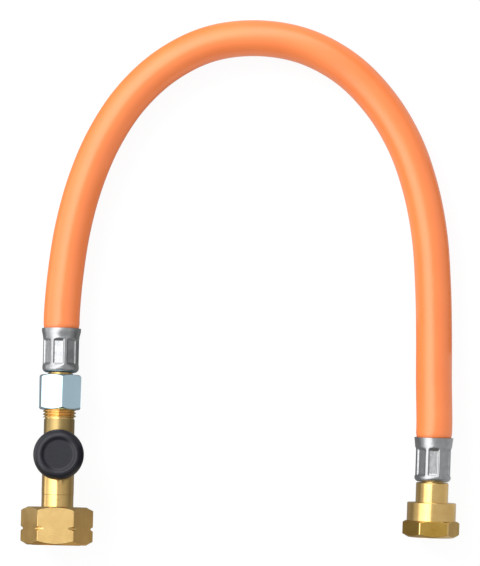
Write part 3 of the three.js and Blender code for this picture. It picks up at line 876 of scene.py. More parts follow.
def fitting_place(joint: str) -> Matrix:
    """Gives the place of a fitting.

    Args:
        joint: The joint of its nut.

    Returns:
        The place, in metres.
    """
    found = next(j for j in frame["joints"] if j["name"] == joint)
    along = Vector(found["axis"]).normalized()
    side = along.cross(Vector((0, 0, 1))).normalized()
    up = side.cross(along)
    turn = Matrix((side, along, up)).transposed()
    return Matrix.Translation(Vector(found["pos_m"])) @ turn.to_4x4()


# Fittings


@dataclass
class BottleUnion:
    """The union nut of the bottle side with its nipple and seal."""

    place: Matrix
    flats: float = 30.0
    length: float = 18.2
    end_wall: float = 4.7
    inset: float = 0.9
    edge: float = 0.16
    mouth: float = 11.1
    mouth_depth: float = 0.9
    mouth_chamfer: float = 0.4
    thread: Thread = Thread(9.8, 10.9, 1.81, 0.24, Hand.LEFT)
    thread_end: float = 10.3
    notch_at: float = 7.8
    notch_depth: float = 1.1
    notch_floor: float = 0.7
    notch_mouth: float = 2.0
    nipple_radius: float = 7.65
    nipple_shown: float = 5.8
    nipple_bore: float = 2.8
    flange_radius: float = 9.4
    flange_thickness: float = 2.7
    seal_radius: float = 9.0
    seal_thickness: float = 2.4
    nose_radius: float = 4.6
    nose_recess: float = 0.4
    spigot_radius: float = 5.7
    spigot_length: float = 6.1

    @property
    def nipple_top(self) -> float:
        """Where the nipple meets the valve body."""
        return self.length + self.nipple_shown

    @property
    def spigot_top(self) -> float:
        """Where the nipple ends inside the valve body."""
        return self.nipple_top + self.spigot_length

    @property
    def flange_top(self) -> float:
        """The face of the flange that the nut pulls on."""
        return self.length - self.end_wall - GAP

    @property
    def flange_foot(self) -> float:
        """The face of the flange that the seal lies on."""
        return self.flange_top - self.flange_thickness

    @property
    def seal_foot(self) -> float:
        """The open face of the seal."""
        return self.flange_foot - GAP - self.seal_thickness

    def build(self) -> None:
        """Makes the three pieces."""
        self.nut()
        self.nipple()
        top = self.seal_foot + self.seal_thickness
        seal = ring(self.nose_radius + GAP, self.seal_radius, self.seal_foot, top, EDGE)
        lay(seal, "bottle_seal", self.place, BLACK_RUBBER)

    def nut(self) -> None:
        """Turns the nut, mills its flats and cuts its left-hand thread."""
        seat = self.length - self.end_wall
        corner = self.flats / math.sqrt(3)
        wide, narrow, run = chamfer_of(self.flats, self.inset)
        hole = self.nipple_radius + GAP
        blank = Blank().turn(
            [
                Corner(self.mouth, self.mouth_depth),
                Corner(self.mouth, self.mouth_chamfer),
                Corner(self.mouth + self.mouth_chamfer, 0),
                Corner(narrow, 0, self.edge),
                Corner(wide, run),
                Corner(wide, self.notch_at - self.notch_mouth),
                Corner(corner, self.notch_at - self.notch_mouth / 2),
                Corner(corner - self.notch_depth, self.notch_at - self.notch_floor / 2),
                Corner(corner - self.notch_depth, self.notch_at + self.notch_floor / 2),
                Corner(corner, self.notch_at + self.notch_mouth / 2),
                Corner(wide, self.notch_at + self.notch_mouth),
                Corner(wide, self.length - run),
                Corner(narrow, self.length, self.edge),
                Corner(hole, self.length, self.edge),
                Corner(hole, seat),
                Corner(self.mouth, seat),
                Corner(self.mouth, self.thread_end),
            ],
            closed=False,
        )
        blank.mill_hexagon(self.flats).break_corners(self.edge).break_edges(self.edge)
        blank.cut_thread(self.thread, self.mouth_depth, self.thread_end)
        finishes = (TURNED_BRASS, MILLED_BRASS)
        lay(blank, "bottle_nut", self.place, *finishes, body=Body.BOTTLE_NUT)

    def nipple(self) -> None:
        """Turns the nipple with its flange, its nose and its spigot."""
        foot = self.seal_foot + self.nose_recess
        section = [
            Corner(self.nipple_bore, foot, SMALL_EDGE),
            Corner(self.nose_radius, foot, SOFT_EDGE),
            Corner(self.nose_radius, self.flange_foot),
            Corner(self.flange_radius, self.flange_foot, SMALL_EDGE),
            Corner(self.flange_radius, self.flange_top, EDGE),
            Corner(self.nipple_radius, self.flange_top, SMALL_EDGE),
            Corner(self.nipple_radius, self.nipple_top, HAIR_EDGE),
            Corner(self.spigot_radius, self.nipple_top),
            Corner(self.spigot_radius, self.spigot_top, EDGE),
            Corner(self.nipple_bore, self.spigot_top, SMALL_EDGE),
        ]
        lay(Blank().turn(section), "bottle_nipple", self.place, TURNED_BRASS)


@dataclass
class ExcessFlowValve:
    """The valve body with the poppet that shuts when too much gas flows."""

    union: BottleUnion
    roll: float = 2.6
    barrel_radius: float = 7.7
    barrel_length: float = 28.5
    neck_radius: float = 7.35
    neck_length: float = 7.5
    neck_chamfer: float = 0.5
    relief_radius: float = 6.9
    relief_width: float = 0.7
    thread: Thread = Thread(7.1, 8.0, 1.5, 0.22)
    thread_runs: int = 3
    thread_gripped: float = 9.3
    outlet_bore: float = 3.0
    tube_radius: float = 5.0
    tube_depth: float = 8.7
    cone_taper: float = 1.0
    cone_length: float = 4.7
    retainer_thickness: float = 1.1
    retainer_hole: float = 2.8
    chamber_radius: float = 5.4
    chamber_length: float = 6.7
    seat_hole: float = 2.4
    seat_rim: float = 1.0
    seat_height: float = 1.8
    seat_wall: float = 1.8
    release_radius: float = 4.2
    release_length: float = 5.2
    boss_radius: float = 7.4
    boss_height: float = 12.5
    boss_floor: float = 6.2
    gland_radius: float = 5.2
    stem_radius: float = 2.0
    poppet_thickness: float = 1.4
    poppet_hub: float = 2.2
    poppet_seal_wall: float = 1.1
    poppet_seal_thickness: float = 1.0
    spring_radius: float = 4.4
    spring_turns: float = 4.0
    spring_wire: float = 0.3

    @property
    def place(self) -> Matrix:
        """The rolled place of the body, in metres."""
        return self.union.place @ Matrix.Rotation(math.radians(self.roll), 4, "Y")

    @property
    def foot(self) -> float:
        """Where the body starts."""
        return self.union.nipple_top + GAP

    @property
    def retainer_foot(self) -> float:
        """Where the retainer starts."""
        return self.union.spigot_top + GAP

    @property
    def poppet_foot(self) -> float:
        """Where the poppet starts."""
        return self.retainer_foot + self.retainer_thickness + GAP

    @property
    def poppet_top(self) -> float:
        """The face of the poppet's disc that carries its seal."""
        return self.poppet_foot + self.poppet_thickness

    @property
    def chamber_top(self) -> float:
        """The wall that the poppet's spring stands on."""
        return self.poppet_foot + self.chamber_length

    @property
    def release_foot(self) -> float:
        """Where the chamber under the button starts."""
        return self.chamber_top + self.seat_wall

    @property
    def button_at(self) -> float:
        """Where the button's axis stands on the fitting's axis."""
        return self.release_foot + self.release_length / 2

    @property
    def thread_foot(self) -> float:
        """Where the thread starts."""
        return self.foot + self.barrel_length + self.neck_length + self.relief_width

    @property
    def cap_nut_foot(self) -> float:
        """How far the cap nut is screwed down."""
        return self.thread_foot + (self.thread_runs - 0.5) * self.thread.pitch

    @property
    def top(self) -> float:
        """Where the body ends inside the cap nut."""
        return self.cap_nut_foot + self.thread_gripped

    @property
    def tube_foot(self) -> float:
        """Where the hose tail's tube ends inside the body."""
        return self.top - self.tube_depth

    def build(self) -> None:
        """Makes the body and what it holds."""
        self.body()
        place = self.union.place
        top = self.retainer_foot + self.retainer_thickness
        rim = self.union.spigot_radius
        retainer = ring(self.retainer_hole, rim, self.retainer_foot, top, FINE_EDGE)
        lay(retainer, "poppet_retainer", place, PLAIN_STEEL)
        inner = self.poppet_hub + GAP
        foot = self.poppet_top + GAP
        top = foot + self.poppet_seal_thickness
        seal = ring(inner, inner + self.poppet_seal_wall, foot, top, SMALL_EDGE)
        lay(seal, "poppet_seal", place, BLACK_RUBBER, body=Body.POPPET)
        heights = (self.poppet_top, self.chamber_top)
        coil = spring(self.spring_radius, *heights, self.spring_turns, self.spring_wire)
        piece = lay(coil, "poppet_spring", place, PLAIN_STEEL)
        along = place.to_3x3() @ Vector((0, 1, 0))
        anchor = place @ Vector((0, self.chamber_top * MM, 0))
        travel = travel_of("poppet_slide")
        fixed = (self.chamber_top - self.poppet_top) * MM
        1 - travel / fixed
        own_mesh(piece)

    def body(self) -> None:
        """Turns the body with its thread, joins the button's boss and bores the gas way."""
        neck_foot = self.foot + self.barrel_length
        neck_top = neck_foot + self.neck_length
        seam = self.union.nipple_top + SEAM
        outside = Blank().turn(
            [
                Corner(0, seam),
                Corner(self.barrel_radius, seam, HAIR_EDGE),
                Corner(self.barrel_radius, neck_foot - self.neck_chamfer, FINE_EDGE),
                Corner(self.neck_radius, neck_foot),
                Corner(self.neck_radius, neck_top, FINE_EDGE),
                Corner(self.relief_radius, neck_top),
                Corner(self.relief_radius, self.thread_foot),
            ],
            closed=False,
        )
        for face in outside.bm.faces:
            if neck_foot < face.calc_center_median().y < neck_top:
                face.material_index = 1
        outside.cut_thread(self.thread, self.thread_foot, self.top)
        material = TURNED_BRASS.material(self.place)
        neck_material = PLAIN_BRASS.material(self.place)
        piece = outside.object("valve_body_fine", self.place, [material, neck_material])
        boss = [
            Corner(0, 0),
            Corner(self.boss_radius, 0),
            Corner(self.boss_radius, self.boss_height, SOFT_EDGE),
            Corner(0, self.boss_height),
        ]
        carve(piece, self.upright(boss, "boss", material), "UNION")
        way = Blank().turn(self.gas_way()).object("way", self.place, [material])
        carve(piece, way, "DIFFERENCE")
        pocket = self.gland_radius + GAP
        bore = self.stem_radius + GAP
        hole = [
            Corner(0, 0),
            Corner(bore, 0),
            Corner(bore, self.boss_floor),
            Corner(pocket, self.boss_floor),
            Corner(pocket, self.boss_height + 1),
            Corner(0, self.boss_height + 1),
        ]
        carve(piece, self.upright(hole, "hole", material), "DIFFERENCE")
        piece.data.set_sharp_from_angle(angle=SMOOTH_LIMIT)
        weighted(piece)
        settle(piece, Body.HOSE, Slot.BRASS, "valve_body")

    def upright(
        self, section: Sequence[Corner], name: str, material: bpy.types.Material
    ) -> bpy.types.Object:
        """Makes a shape turned about the button's axis.

        Args:
            section: Its half section.
            name: Its name.
            material: Its material.

        Returns:
            The shape.
        """
        stand = Matrix.Translation((0, self.button_at, 0)) @ Matrix.Rotation(math.pi / 2, 4, "X")
        return Blank().turn(section).move(stand).object(name, self.place, [material])

    def gas_way(self) -> list[Corner]:
        """Gives the section of the space inside the body.

        Returns:
            Its corners.
        """
        socket = self.union.spigot_radius + GAP
        tube = self.tube_radius + GAP
        rim = self.seat_hole + self.seat_rim
        seat = self.chamber_top - self.seat_height
        release_top = self.release_foot + self.release_length
        return [
            Corner(0, self.foot - 1),
            Corner(socket, self.foot - 1),
            Corner(socket, self.poppet_foot),
            Corner(self.chamber_radius, self.poppet_foot),
            Corner(self.chamber_radius, self.chamber_top),
            Corner(rim, self.chamber_top),
            Corner(rim, seat),
            Corner(self.seat_hole, seat),
            Corner(self.seat_hole, self.release_foot),
            Corner(self.release_radius, self.release_foot),
            Corner(self.release_radius, release_top),
            Corner(self.outlet_bore, release_top),
            Corner(self.outlet_bore, self.tube_foot - GAP),
            Corner(tube, self.tube_foot - GAP),
            Corner(tube, self.top - self.cone_length),
            Corner(tube + self.cone_taper, self.top),
            Corner(tube + self.cone_taper, self.top + 1),
            Corner(0, self.top + 1),
        ]


def travel_of(joint: str) -> float:
    """Gives how far a sliding joint goes, in metres."""
    return next(j for j in frame["joints"] if j["name"] == joint)["range_m"][1]


@dataclass
class PushButton:
    """The button that lifts the shut poppet, with its gland, stem and spring."""

    valve: ExcessFlowValve
    radius: float = 12.05
    foot: float = 13.0
    shoulder: float = 18.6
    rim_height: float = 23.2
    rim_outer: float = 8.8
    rim_inner: float = 8.3
    dish_radius: float = 7.0
    dish_depth: float = 0.9
    wall: float = 1.7
    hub_radius: float = 3.8
    hub_length: float = 2.7
    socket_roof: float = 0.6
    flange_radius: float = 7.2
    flange_thickness: float = 1.5
    pocket_radius: float = 3.9
    pocket_depth: float = 5.5
    stem_tip: float = 5.4
    tip_radius: float = 0.9
    stem_taper: float = 1.1
    stem_seal_radius: float = 3.5
    stem_seal_height: float = 1.1
    clip_thickness: float = 0.7
    groove_radius: float = 1.6
    spring_radius: float = 5.3
    spring_turns: float = 4.0

    @property
    def place(self) -> Matrix:
        """The place of the button's axis, in metres, with Y up."""
        stand = Matrix.Rotation(math.pi / 2, 4, "X")
        return self.valve.place @ Matrix.Translation((0, self.valve.button_at * MM, 0)) @ stand

    @property
    def gland_foot(self) -> float:
        """Where the gland starts."""
        return self.valve.boss_floor + GAP

    @property
    def gland_top(self) -> float:
        """The face that the spring stands on."""
        return self.valve.boss_height + GAP + self.flange_thickness

    @property
    def dish(self) -> float:
        """The height of the dish."""
        return self.rim_height - self.dish_depth

    @property
    def ceiling(self) -> float:
        """The height of the inside of the cap."""
        return self.dish - self.wall

    def build(self) -> None:
        """Makes the pieces."""
        self.cap()
        self.gland()
        self.stem()
        seal_top = self.gland_foot + self.stem_seal_height
        inner = self.valve.stem_radius + GAP
        seal = ring(inner, self.stem_seal_radius, self.gland_foot, seal_top, SMALL_EDGE)
        lay(seal, "stem_seal", self.place, BLACK_RUBBER)
        wire = self.valve.spring_wire
        coil = spring(self.spring_radius, self.gland_top, self.ceiling, self.spring_turns, wire)
        piece = lay(coil, "button_spring", self.place, PLAIN_STEEL)
        up = self.place.to_3x3() @ Vector((0, 1, 0))
        anchor = self.place @ Vector((0, self.gland_top * MM, 0))
        keep = 1 - travel_of("button_press") / ((self.ceiling - self.gland_top) * MM)
        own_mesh(piece)

    def cap(self) -> None:
        """Turns the hollow cap with its rounded rim and shallow dish."""
        inside = self.radius - self.wall
        hub_foot = self.ceiling - self.hub_length
        roof = self.ceiling - self.socket_roof
        socket = self.valve.stem_radius + GAP
        shoulder = []
        parts = 12
        for i in range(parts + 1):
            angle = math.pi / 2 * i / parts
            radius = self.rim_outer + (self.radius - self.rim_outer) * math.cos(angle)
            rise = (self.rim_height - self.shoulder) * math.sin(angle)
            shoulder.append(Corner(radius, self.shoulder + rise))
        section = [
            Corner(0, roof),
            Corner(socket, roof),
            Corner(socket, hub_foot, SMALL_EDGE),
            Corner(self.hub_radius, hub_foot, SMALL_EDGE),
            Corner(self.hub_radius, self.ceiling),
            Corner(inside - self.wall, self.ceiling),
            Corner(inside, self.ceiling - self.wall),
            Corner(inside, self.foot, EDGE),
            Corner(self.radius, self.foot, SOFT_EDGE),
            *shoulder,
            Corner(self.rim_inner, self.rim_height, SOFT_EDGE),
            Corner(self.dish_radius, self.dish, SOFT_EDGE),
            Corner(0, self.dish),
        ]
        lay(Blank().turn(section), "button_cap", self.place, SATIN_PLASTIC, body=Body.BUTTON)

    def gland(self) -> None:
        """Turns the gland that guides the stem."""
        flange_foot = self.valve.boss_height + GAP
        pocket_top = self.gland_foot + self.pocket_depth
        bore = self.valve.stem_radius + GAP
        section = [
            Corner(self.pocket_radius, self.gland_foot),
            Corner(self.valve.gland_radius, self.gland_foot, SMALL_EDGE),
            Corner(self.valve.gland_radius, flange_foot),
            Corner(self.flange_radius, flange_foot, SMALL_EDGE),
            Corner(self.flange_radius, self.gland_top, EDGE),
            Corner(bore, self.gland_top, SMALL_EDGE),
            Corner(bore, pocket_top),
            Corner(self.pocket_radius, pocket_top),
        ]
        lay(Blank().turn(section), "button_gland", self.place, TURNED_BRASS)

    def stem(self) -> None:
        """Turns the stem with its tip and the groove for its clip."""
        radius = self.valve.stem_radius
        clip_top = self.gland_foot + self.pocket_depth - GAP
        clip_foot = clip_top - self.clip_thickness
        end = self.ceiling - self.socket_roof - GAP
        section = [
            Corner(0, self.stem_tip),
            Corner(self.tip_radius, self.stem_tip, SMALL_EDGE),
            Corner(radius, self.stem_tip + self.stem_taper, SMALL_EDGE),
            Corner(radius, clip_foot - GAP),
            Corner(self.groove_radius, clip_foot - GAP),
            Corner(self.groove_radius, clip_top + GAP),
            Corner(radius, clip_top + GAP),
            Corner(radius, end, SMALL_EDGE),
            Corner(0, end),
        ]
        lay(Blank().turn(section), "button_stem", self.place, PLAIN_STEEL, body=Body.BUTTON)


def barbed_end(ferrule_foot: float) -> list[Corner]:
    """Gives the outline of a barbed end.

    Args:
        ferrule_foot: Where the ferrule starts.

    Returns:
        The corners, from the ferrule's foot up into the hose.
    """
    bore, neck, neck_length = 2.2, 5.2, 1.8
    stop_radius, stop_thickness = 6.0, 0.9
    barb_radius, barb_root, barb_pitch, barb_edge, barbs = 3.5, 3.0, 3.6, 0.1, 4
    stop_foot = ferrule_foot - GAP + neck_length
    stop_top = stop_foot + stop_thickness
    section = [
        Corner(neck, ferrule_foot - GAP),
        Corner(neck, stop_foot),
        Corner(stop_radius, stop_foot, FINE_EDGE),
        Corner(stop_radius, stop_top, FINE_EDGE),
        Corner(barb_root, stop_top),
    ]
    for barb in range(barbs):
        crest = stop_top + (barb + 0.5) * barb_pitch
        section.append(Corner(barb_root, crest))
        section.append(Corner(barb_radius, crest, barb_edge))
        section.append(Corner(barb_root, crest + barb_pitch / 2))
    section.append(Corner(bore, stop_top + barbs * barb_pitch))
    return section


@dataclass
class CompressionJoint:
    """The cap nut that grips the left hose tail in the valve body, with its cutting ring."""

    valve: ExcessFlowValve
    flats: float = 19.0
    length: float = 16.8
    turn: float = 38.3
    inset: float = 0.5
    edge: float = 0.14
    nose: float = 2.6
    ring_length: float = 5.4
    ring_nose: float = 2.0
    ring_back: float = 1.8
    ring_shoulder: float = 2.1
    collar_radius: float = 6.1
    collar_shown: float = 1.0
    tail_bore: float = 2.2

    @property
    def top(self) -> float:
        """Where the cap nut ends."""
        return self.valve.cap_nut_foot + self.length

    @property
    def ferrule_foot(self) -> float:
        """Where the ferrule starts."""
        return self.top + self.collar_shown

    def build(self) -> None:
        """Makes the three pieces."""
        self.nut()
        self.cutting_ring()
        section = [
            Corner(self.tail_bore, self.valve.tube_foot, SMALL_EDGE),
            Corner(self.valve.tube_radius, self.valve.tube_foot, EDGE),
            Corner(self.valve.tube_radius, self.top + GAP),
            Corner(self.collar_radius, self.top + GAP, FINE_EDGE),
            Corner(self.collar_radius, self.ferrule_foot - GAP, FINE_EDGE),
            *barbed_end(self.ferrule_foot),
        ]
        lay(Blank().turn(section), "left_hose_tail", self.valve.union.place, TURNED_BRASS)

    def nut(self) -> None:
        """Turns the cap nut and mills its flats."""
        foot = self.valve.cap_nut_foot
        wide, narrow, run = chamfer_of(self.flats, self.inset)
        bore = self.valve.thread.outer + GAP
        hole = self.valve.tube_radius + GAP
        nose_foot = self.top - self.nose
        blank = Blank().turn(
            [
                Corner(bore, foot, EDGE),
                Corner(narrow, foot, SMALL_EDGE),
                Corner(wide, foot + run),
                Corner(wide, self.top - run),
                Corner(narrow, self.top, EDGE),
                Corner(hole, self.top, EDGE),
                Corner(hole, nose_foot),
                Corner(bore, nose_foot - (bore - hole)),
            ]
        )
        blank.mill_hexagon(self.flats).break_corners(self.edge).break_edges(self.edge)
        blank.rotate(self.turn)
        lay(blank, "cap_nut", self.valve.union.place, BLUE_ZINC, BLUE_ZINC)

    def cutting_ring(self) -> None:
        """Turns the wedge-shaped ring between the two cones."""
        inner = self.valve.tube_radius + GAP
        foot = self.valve.top - self.ring_nose
        top = foot + self.ring_length
        section = [
            Corner(inner, foot),
            Corner(inner + GAP, foot),
            Corner(inner + self.valve.cone_taper - GAP, self.valve.top),
            Corner(inner + self.ring_shoulder, self.valve.top + GAP, FINE_EDGE),
            Corner(inner + self.ring_shoulder, top - self.ring_back, FINE_EDGE),
            Corner(inner + GAP, top),
            Corner(inner, top),
        ]
        lay(Blank().turn(section), "cutting_ring", self.valve.union.place, PLAIN_STEEL)


@dataclass
class RegulatorUnion:
    """The union nut of the regulator side with the right hose tail and its seal."""

    place: Matrix
    flats: float = 24.0
    hex_length: float = 7.8
    collar_radius: float = 11.75
    collar_length: float = 8.8
    collar_edge: float = 0.4
    turn: float = 3.7
    inset: float = 0.9
    step_inset: float = -0.4
    corner_edge: float = 0.5
    edge: float = 0.16
    end_wall: float = 4.2
    mouth: float = 10.15
    mouth_depth: float = 0.8
    mouth_chamfer: float = 0.3
    thread: Thread = Thread(9.2, 10.0, 1.5, 0.2)
    thread_end: float = 9.0
    tail_radius: float = 7.8
    tail_shown: float = 9.6
    tail_edge: float = 0.4
    tail_bore: float = 2.2
    flange_radius: float = 8.8
    flange_thickness: float = 2.8
    seal_radius: float = 8.6
    seal_thickness: float = 2.3
    nose_radius: float = 4.5
    nose_recess: float = 0.4

    @property
    def length(self) -> float:
        """The nut's whole length."""
        return self.hex_length + self.collar_length

    @property
    def ferrule_foot(self) -> float:
        """Where the ferrule starts."""
        return self.length + self.tail_shown + GAP

    def build(self) -> None:
        """Makes the three pieces."""
        self.nut()
        flange_top = self.length - self.end_wall - GAP
        flange_foot = flange_top - self.flange_thickness
        seal_foot = flange_foot - GAP - self.seal_thickness
        shoulder = self.length + self.tail_shown
        section = [
            Corner(self.tail_bore, seal_foot + self.nose_recess, SMALL_EDGE),
            Corner(self.nose_radius, seal_foot + self.nose_recess, SOFT_EDGE),
            Corner(self.nose_radius, flange_foot),
            Corner(self.flange_radius, flange_foot, SMALL_EDGE),
            Corner(self.flange_radius, flange_top, EDGE),
            Corner(self.tail_radius, flange_top, SMALL_EDGE),
            Corner(self.tail_radius, shoulder - self.tail_edge, FINE_EDGE),
            Corner(self.tail_radius - self.tail_edge, shoulder, FINE_EDGE),
            *barbed_end(self.ferrule_foot),
        ]
        lay(Blank().turn(section), "right_hose_tail", self.place, TURNED_BRASS)
        top = seal_foot + self.seal_thickness
        seal = ring(self.nose_radius + GAP, self.seal_radius, seal_foot, top, EDGE)
        lay(seal, "regulator_seal", self.place, BLACK_RUBBER)

    def nut(self) -> None:
        """Turns the nut with its collar, mills its flats and cuts its thread."""
        seat = self.length - self.end_wall
        wide, narrow, run = chamfer_of(self.flats, self.inset)
        step = self.flats / 2 - self.step_inset
        hole = self.tail_radius + GAP
        blank = Blank().turn(
            [
                Corner(self.mouth, self.mouth_depth),
                Corner(self.mouth, self.mouth_chamfer),
                Corner(self.mouth + self.mouth_chamfer, 0),
                Corner(narrow, 0, self.edge),
                Corner(wide, run),
                Corner(wide, self.hex_length - (wide - step) / math.sqrt(3)),
                Corner(step, self.hex_length),
                Corner(self.collar_radius, self.hex_length),
                Corner(self.collar_radius, self.length, self.collar_edge),
                Corner(hole, self.length, EDGE),
                Corner(hole, seat),
                Corner(self.mouth, seat),
                Corner(self.mouth, self.thread_end),
            ],
            closed=False,
        )
        blank.mill_hexagon(self.flats).break_corners(self.corner_edge).break_edges(self.edge)
        blank.cut_thread(self.thread, self.mouth_depth, self.thread_end).rotate(self.turn)
        finishes = (TURNED_BRASS, DRAWN_BRASS)
        lay(blank, "regulator_nut", self.place, *finishes, body=Body.REGULATOR_NUT)


@dataclass
class Ferrule:
    """A sleeve that is crimped round the hose by eight flat dies."""

    node: str
    place: Matrix
    foot: float
    flare: tuple[float, float]
    indent: tuple[float, float]
    turn: float
    length: float = 21.2
    radius: float = 8.75
    mouth: float = 9.4
    wall: float = 0.85
    hole: float = 5.5
    rounding: float = 2.2
    dies: int = 8
    depth: float = 0.95
    width: float = 4.2
    side_slope: float = 0.85
    end_slope: float = 1.3
    foot_slope: float = 1.3
    softness: float = 0.2
    sides: int = 240
    step: float = 0.35

    @property
    def top(self) -> float:
        """Where the sleeve ends, at its mouth."""
        return self.foot + self.length

    def section(self) -> list[Corner]:
        """Gives the outside, from the hole in the foot to the mouth, in short steps.

        Returns:
            The corners.
        """
        toe = self.radius - self.rounding
        corners = [Corner(self.hole, 0), Corner(toe, 0)]
        parts = 8
        for i in range(1, parts + 1):
            angle = math.pi / 2 * i / parts
            across = toe + self.rounding * math.sin(angle)
            corners.append(Corner(across, self.rounding * (1 - math.cos(angle))))
        flare_from, flare_to = (self.length - at for at in self.flare)
        steps = math.ceil((self.length - self.rounding) / self.step)
        for i in range(1, steps + 1):
            at = self.rounding + (self.length - self.rounding) * i / steps
            share = min(max((at - flare_from) / (flare_to - flare_from), 0), 1)
            swell = share * share * (3 - 2 * share) if self.flare[1] else share ** 1.5
            corners.append(Corner(self.radius + (self.mouth - self.radius) * swell, at))
        return corners

    def pressed(self, point: Vector) -> Vector:
        """Moves a point to where the nearest die presses it.

        Args:
            point: A point of the round sleeve.

        Returns:
            Its place after the crimp.
        """
        reach = math.hypot(point.x, point.z)
        angle = math.degrees(math.atan2(point.x, point.z))
        pitch = 360 / self.dies
        centre = self.turn + round((angle - self.turn) / pitch) * pitch
        off = math.radians(angle - centre)
        across, out = reach * math.sin(off), reach * math.cos(off)
        low, high = self.indent
        beside = max(abs(across) - self.width / 2, 0) / self.side_slope
        beyond = max((low - point.y) / self.foot_slope, (point.y - high) / self.end_slope, 0)
        die = self.radius - self.depth + math.hypot(beside, beyond)
        gap = die - out
        overlap = max(self.softness * 2 - abs(gap), 0) / (self.softness * 2)
        out = min(out, die) - overlap * overlap * self.softness / 2
        turned = math.radians(centre)
        x = across * math.cos(turned) + out * math.sin(turned)
        z = out * math.cos(turned) - across * math.sin(turned)
        return Vector((x, point.y, z))

    def build(self) -> None:
        """Turns the sleeve, presses it and gives it its wall."""
        blank = Blank().turn(self.section(), self.sides, closed=False).shape(self.pressed)
        bmesh.ops.recalc_face_normals(blank.bm, faces=blank.bm.faces)
        middles = ((face, face.calc_center_median()) for face in blank.bm.faces)
        outward = sum(face.normal.dot(Vector((at.x, 0, at.z))) for face, at in middles)
        if outward < 0:
            bmesh.ops.reverse_faces(blank.bm, faces=blank.bm.faces)
        bmesh.ops.solidify(blank.bm, geom=blank.bm.faces, thickness=self.wall)
        blank.move(Matrix.Translation((0, self.foot, 0)))
        lay(blank, self.node, self.place, BRIGHT_ZINC)


# Hose


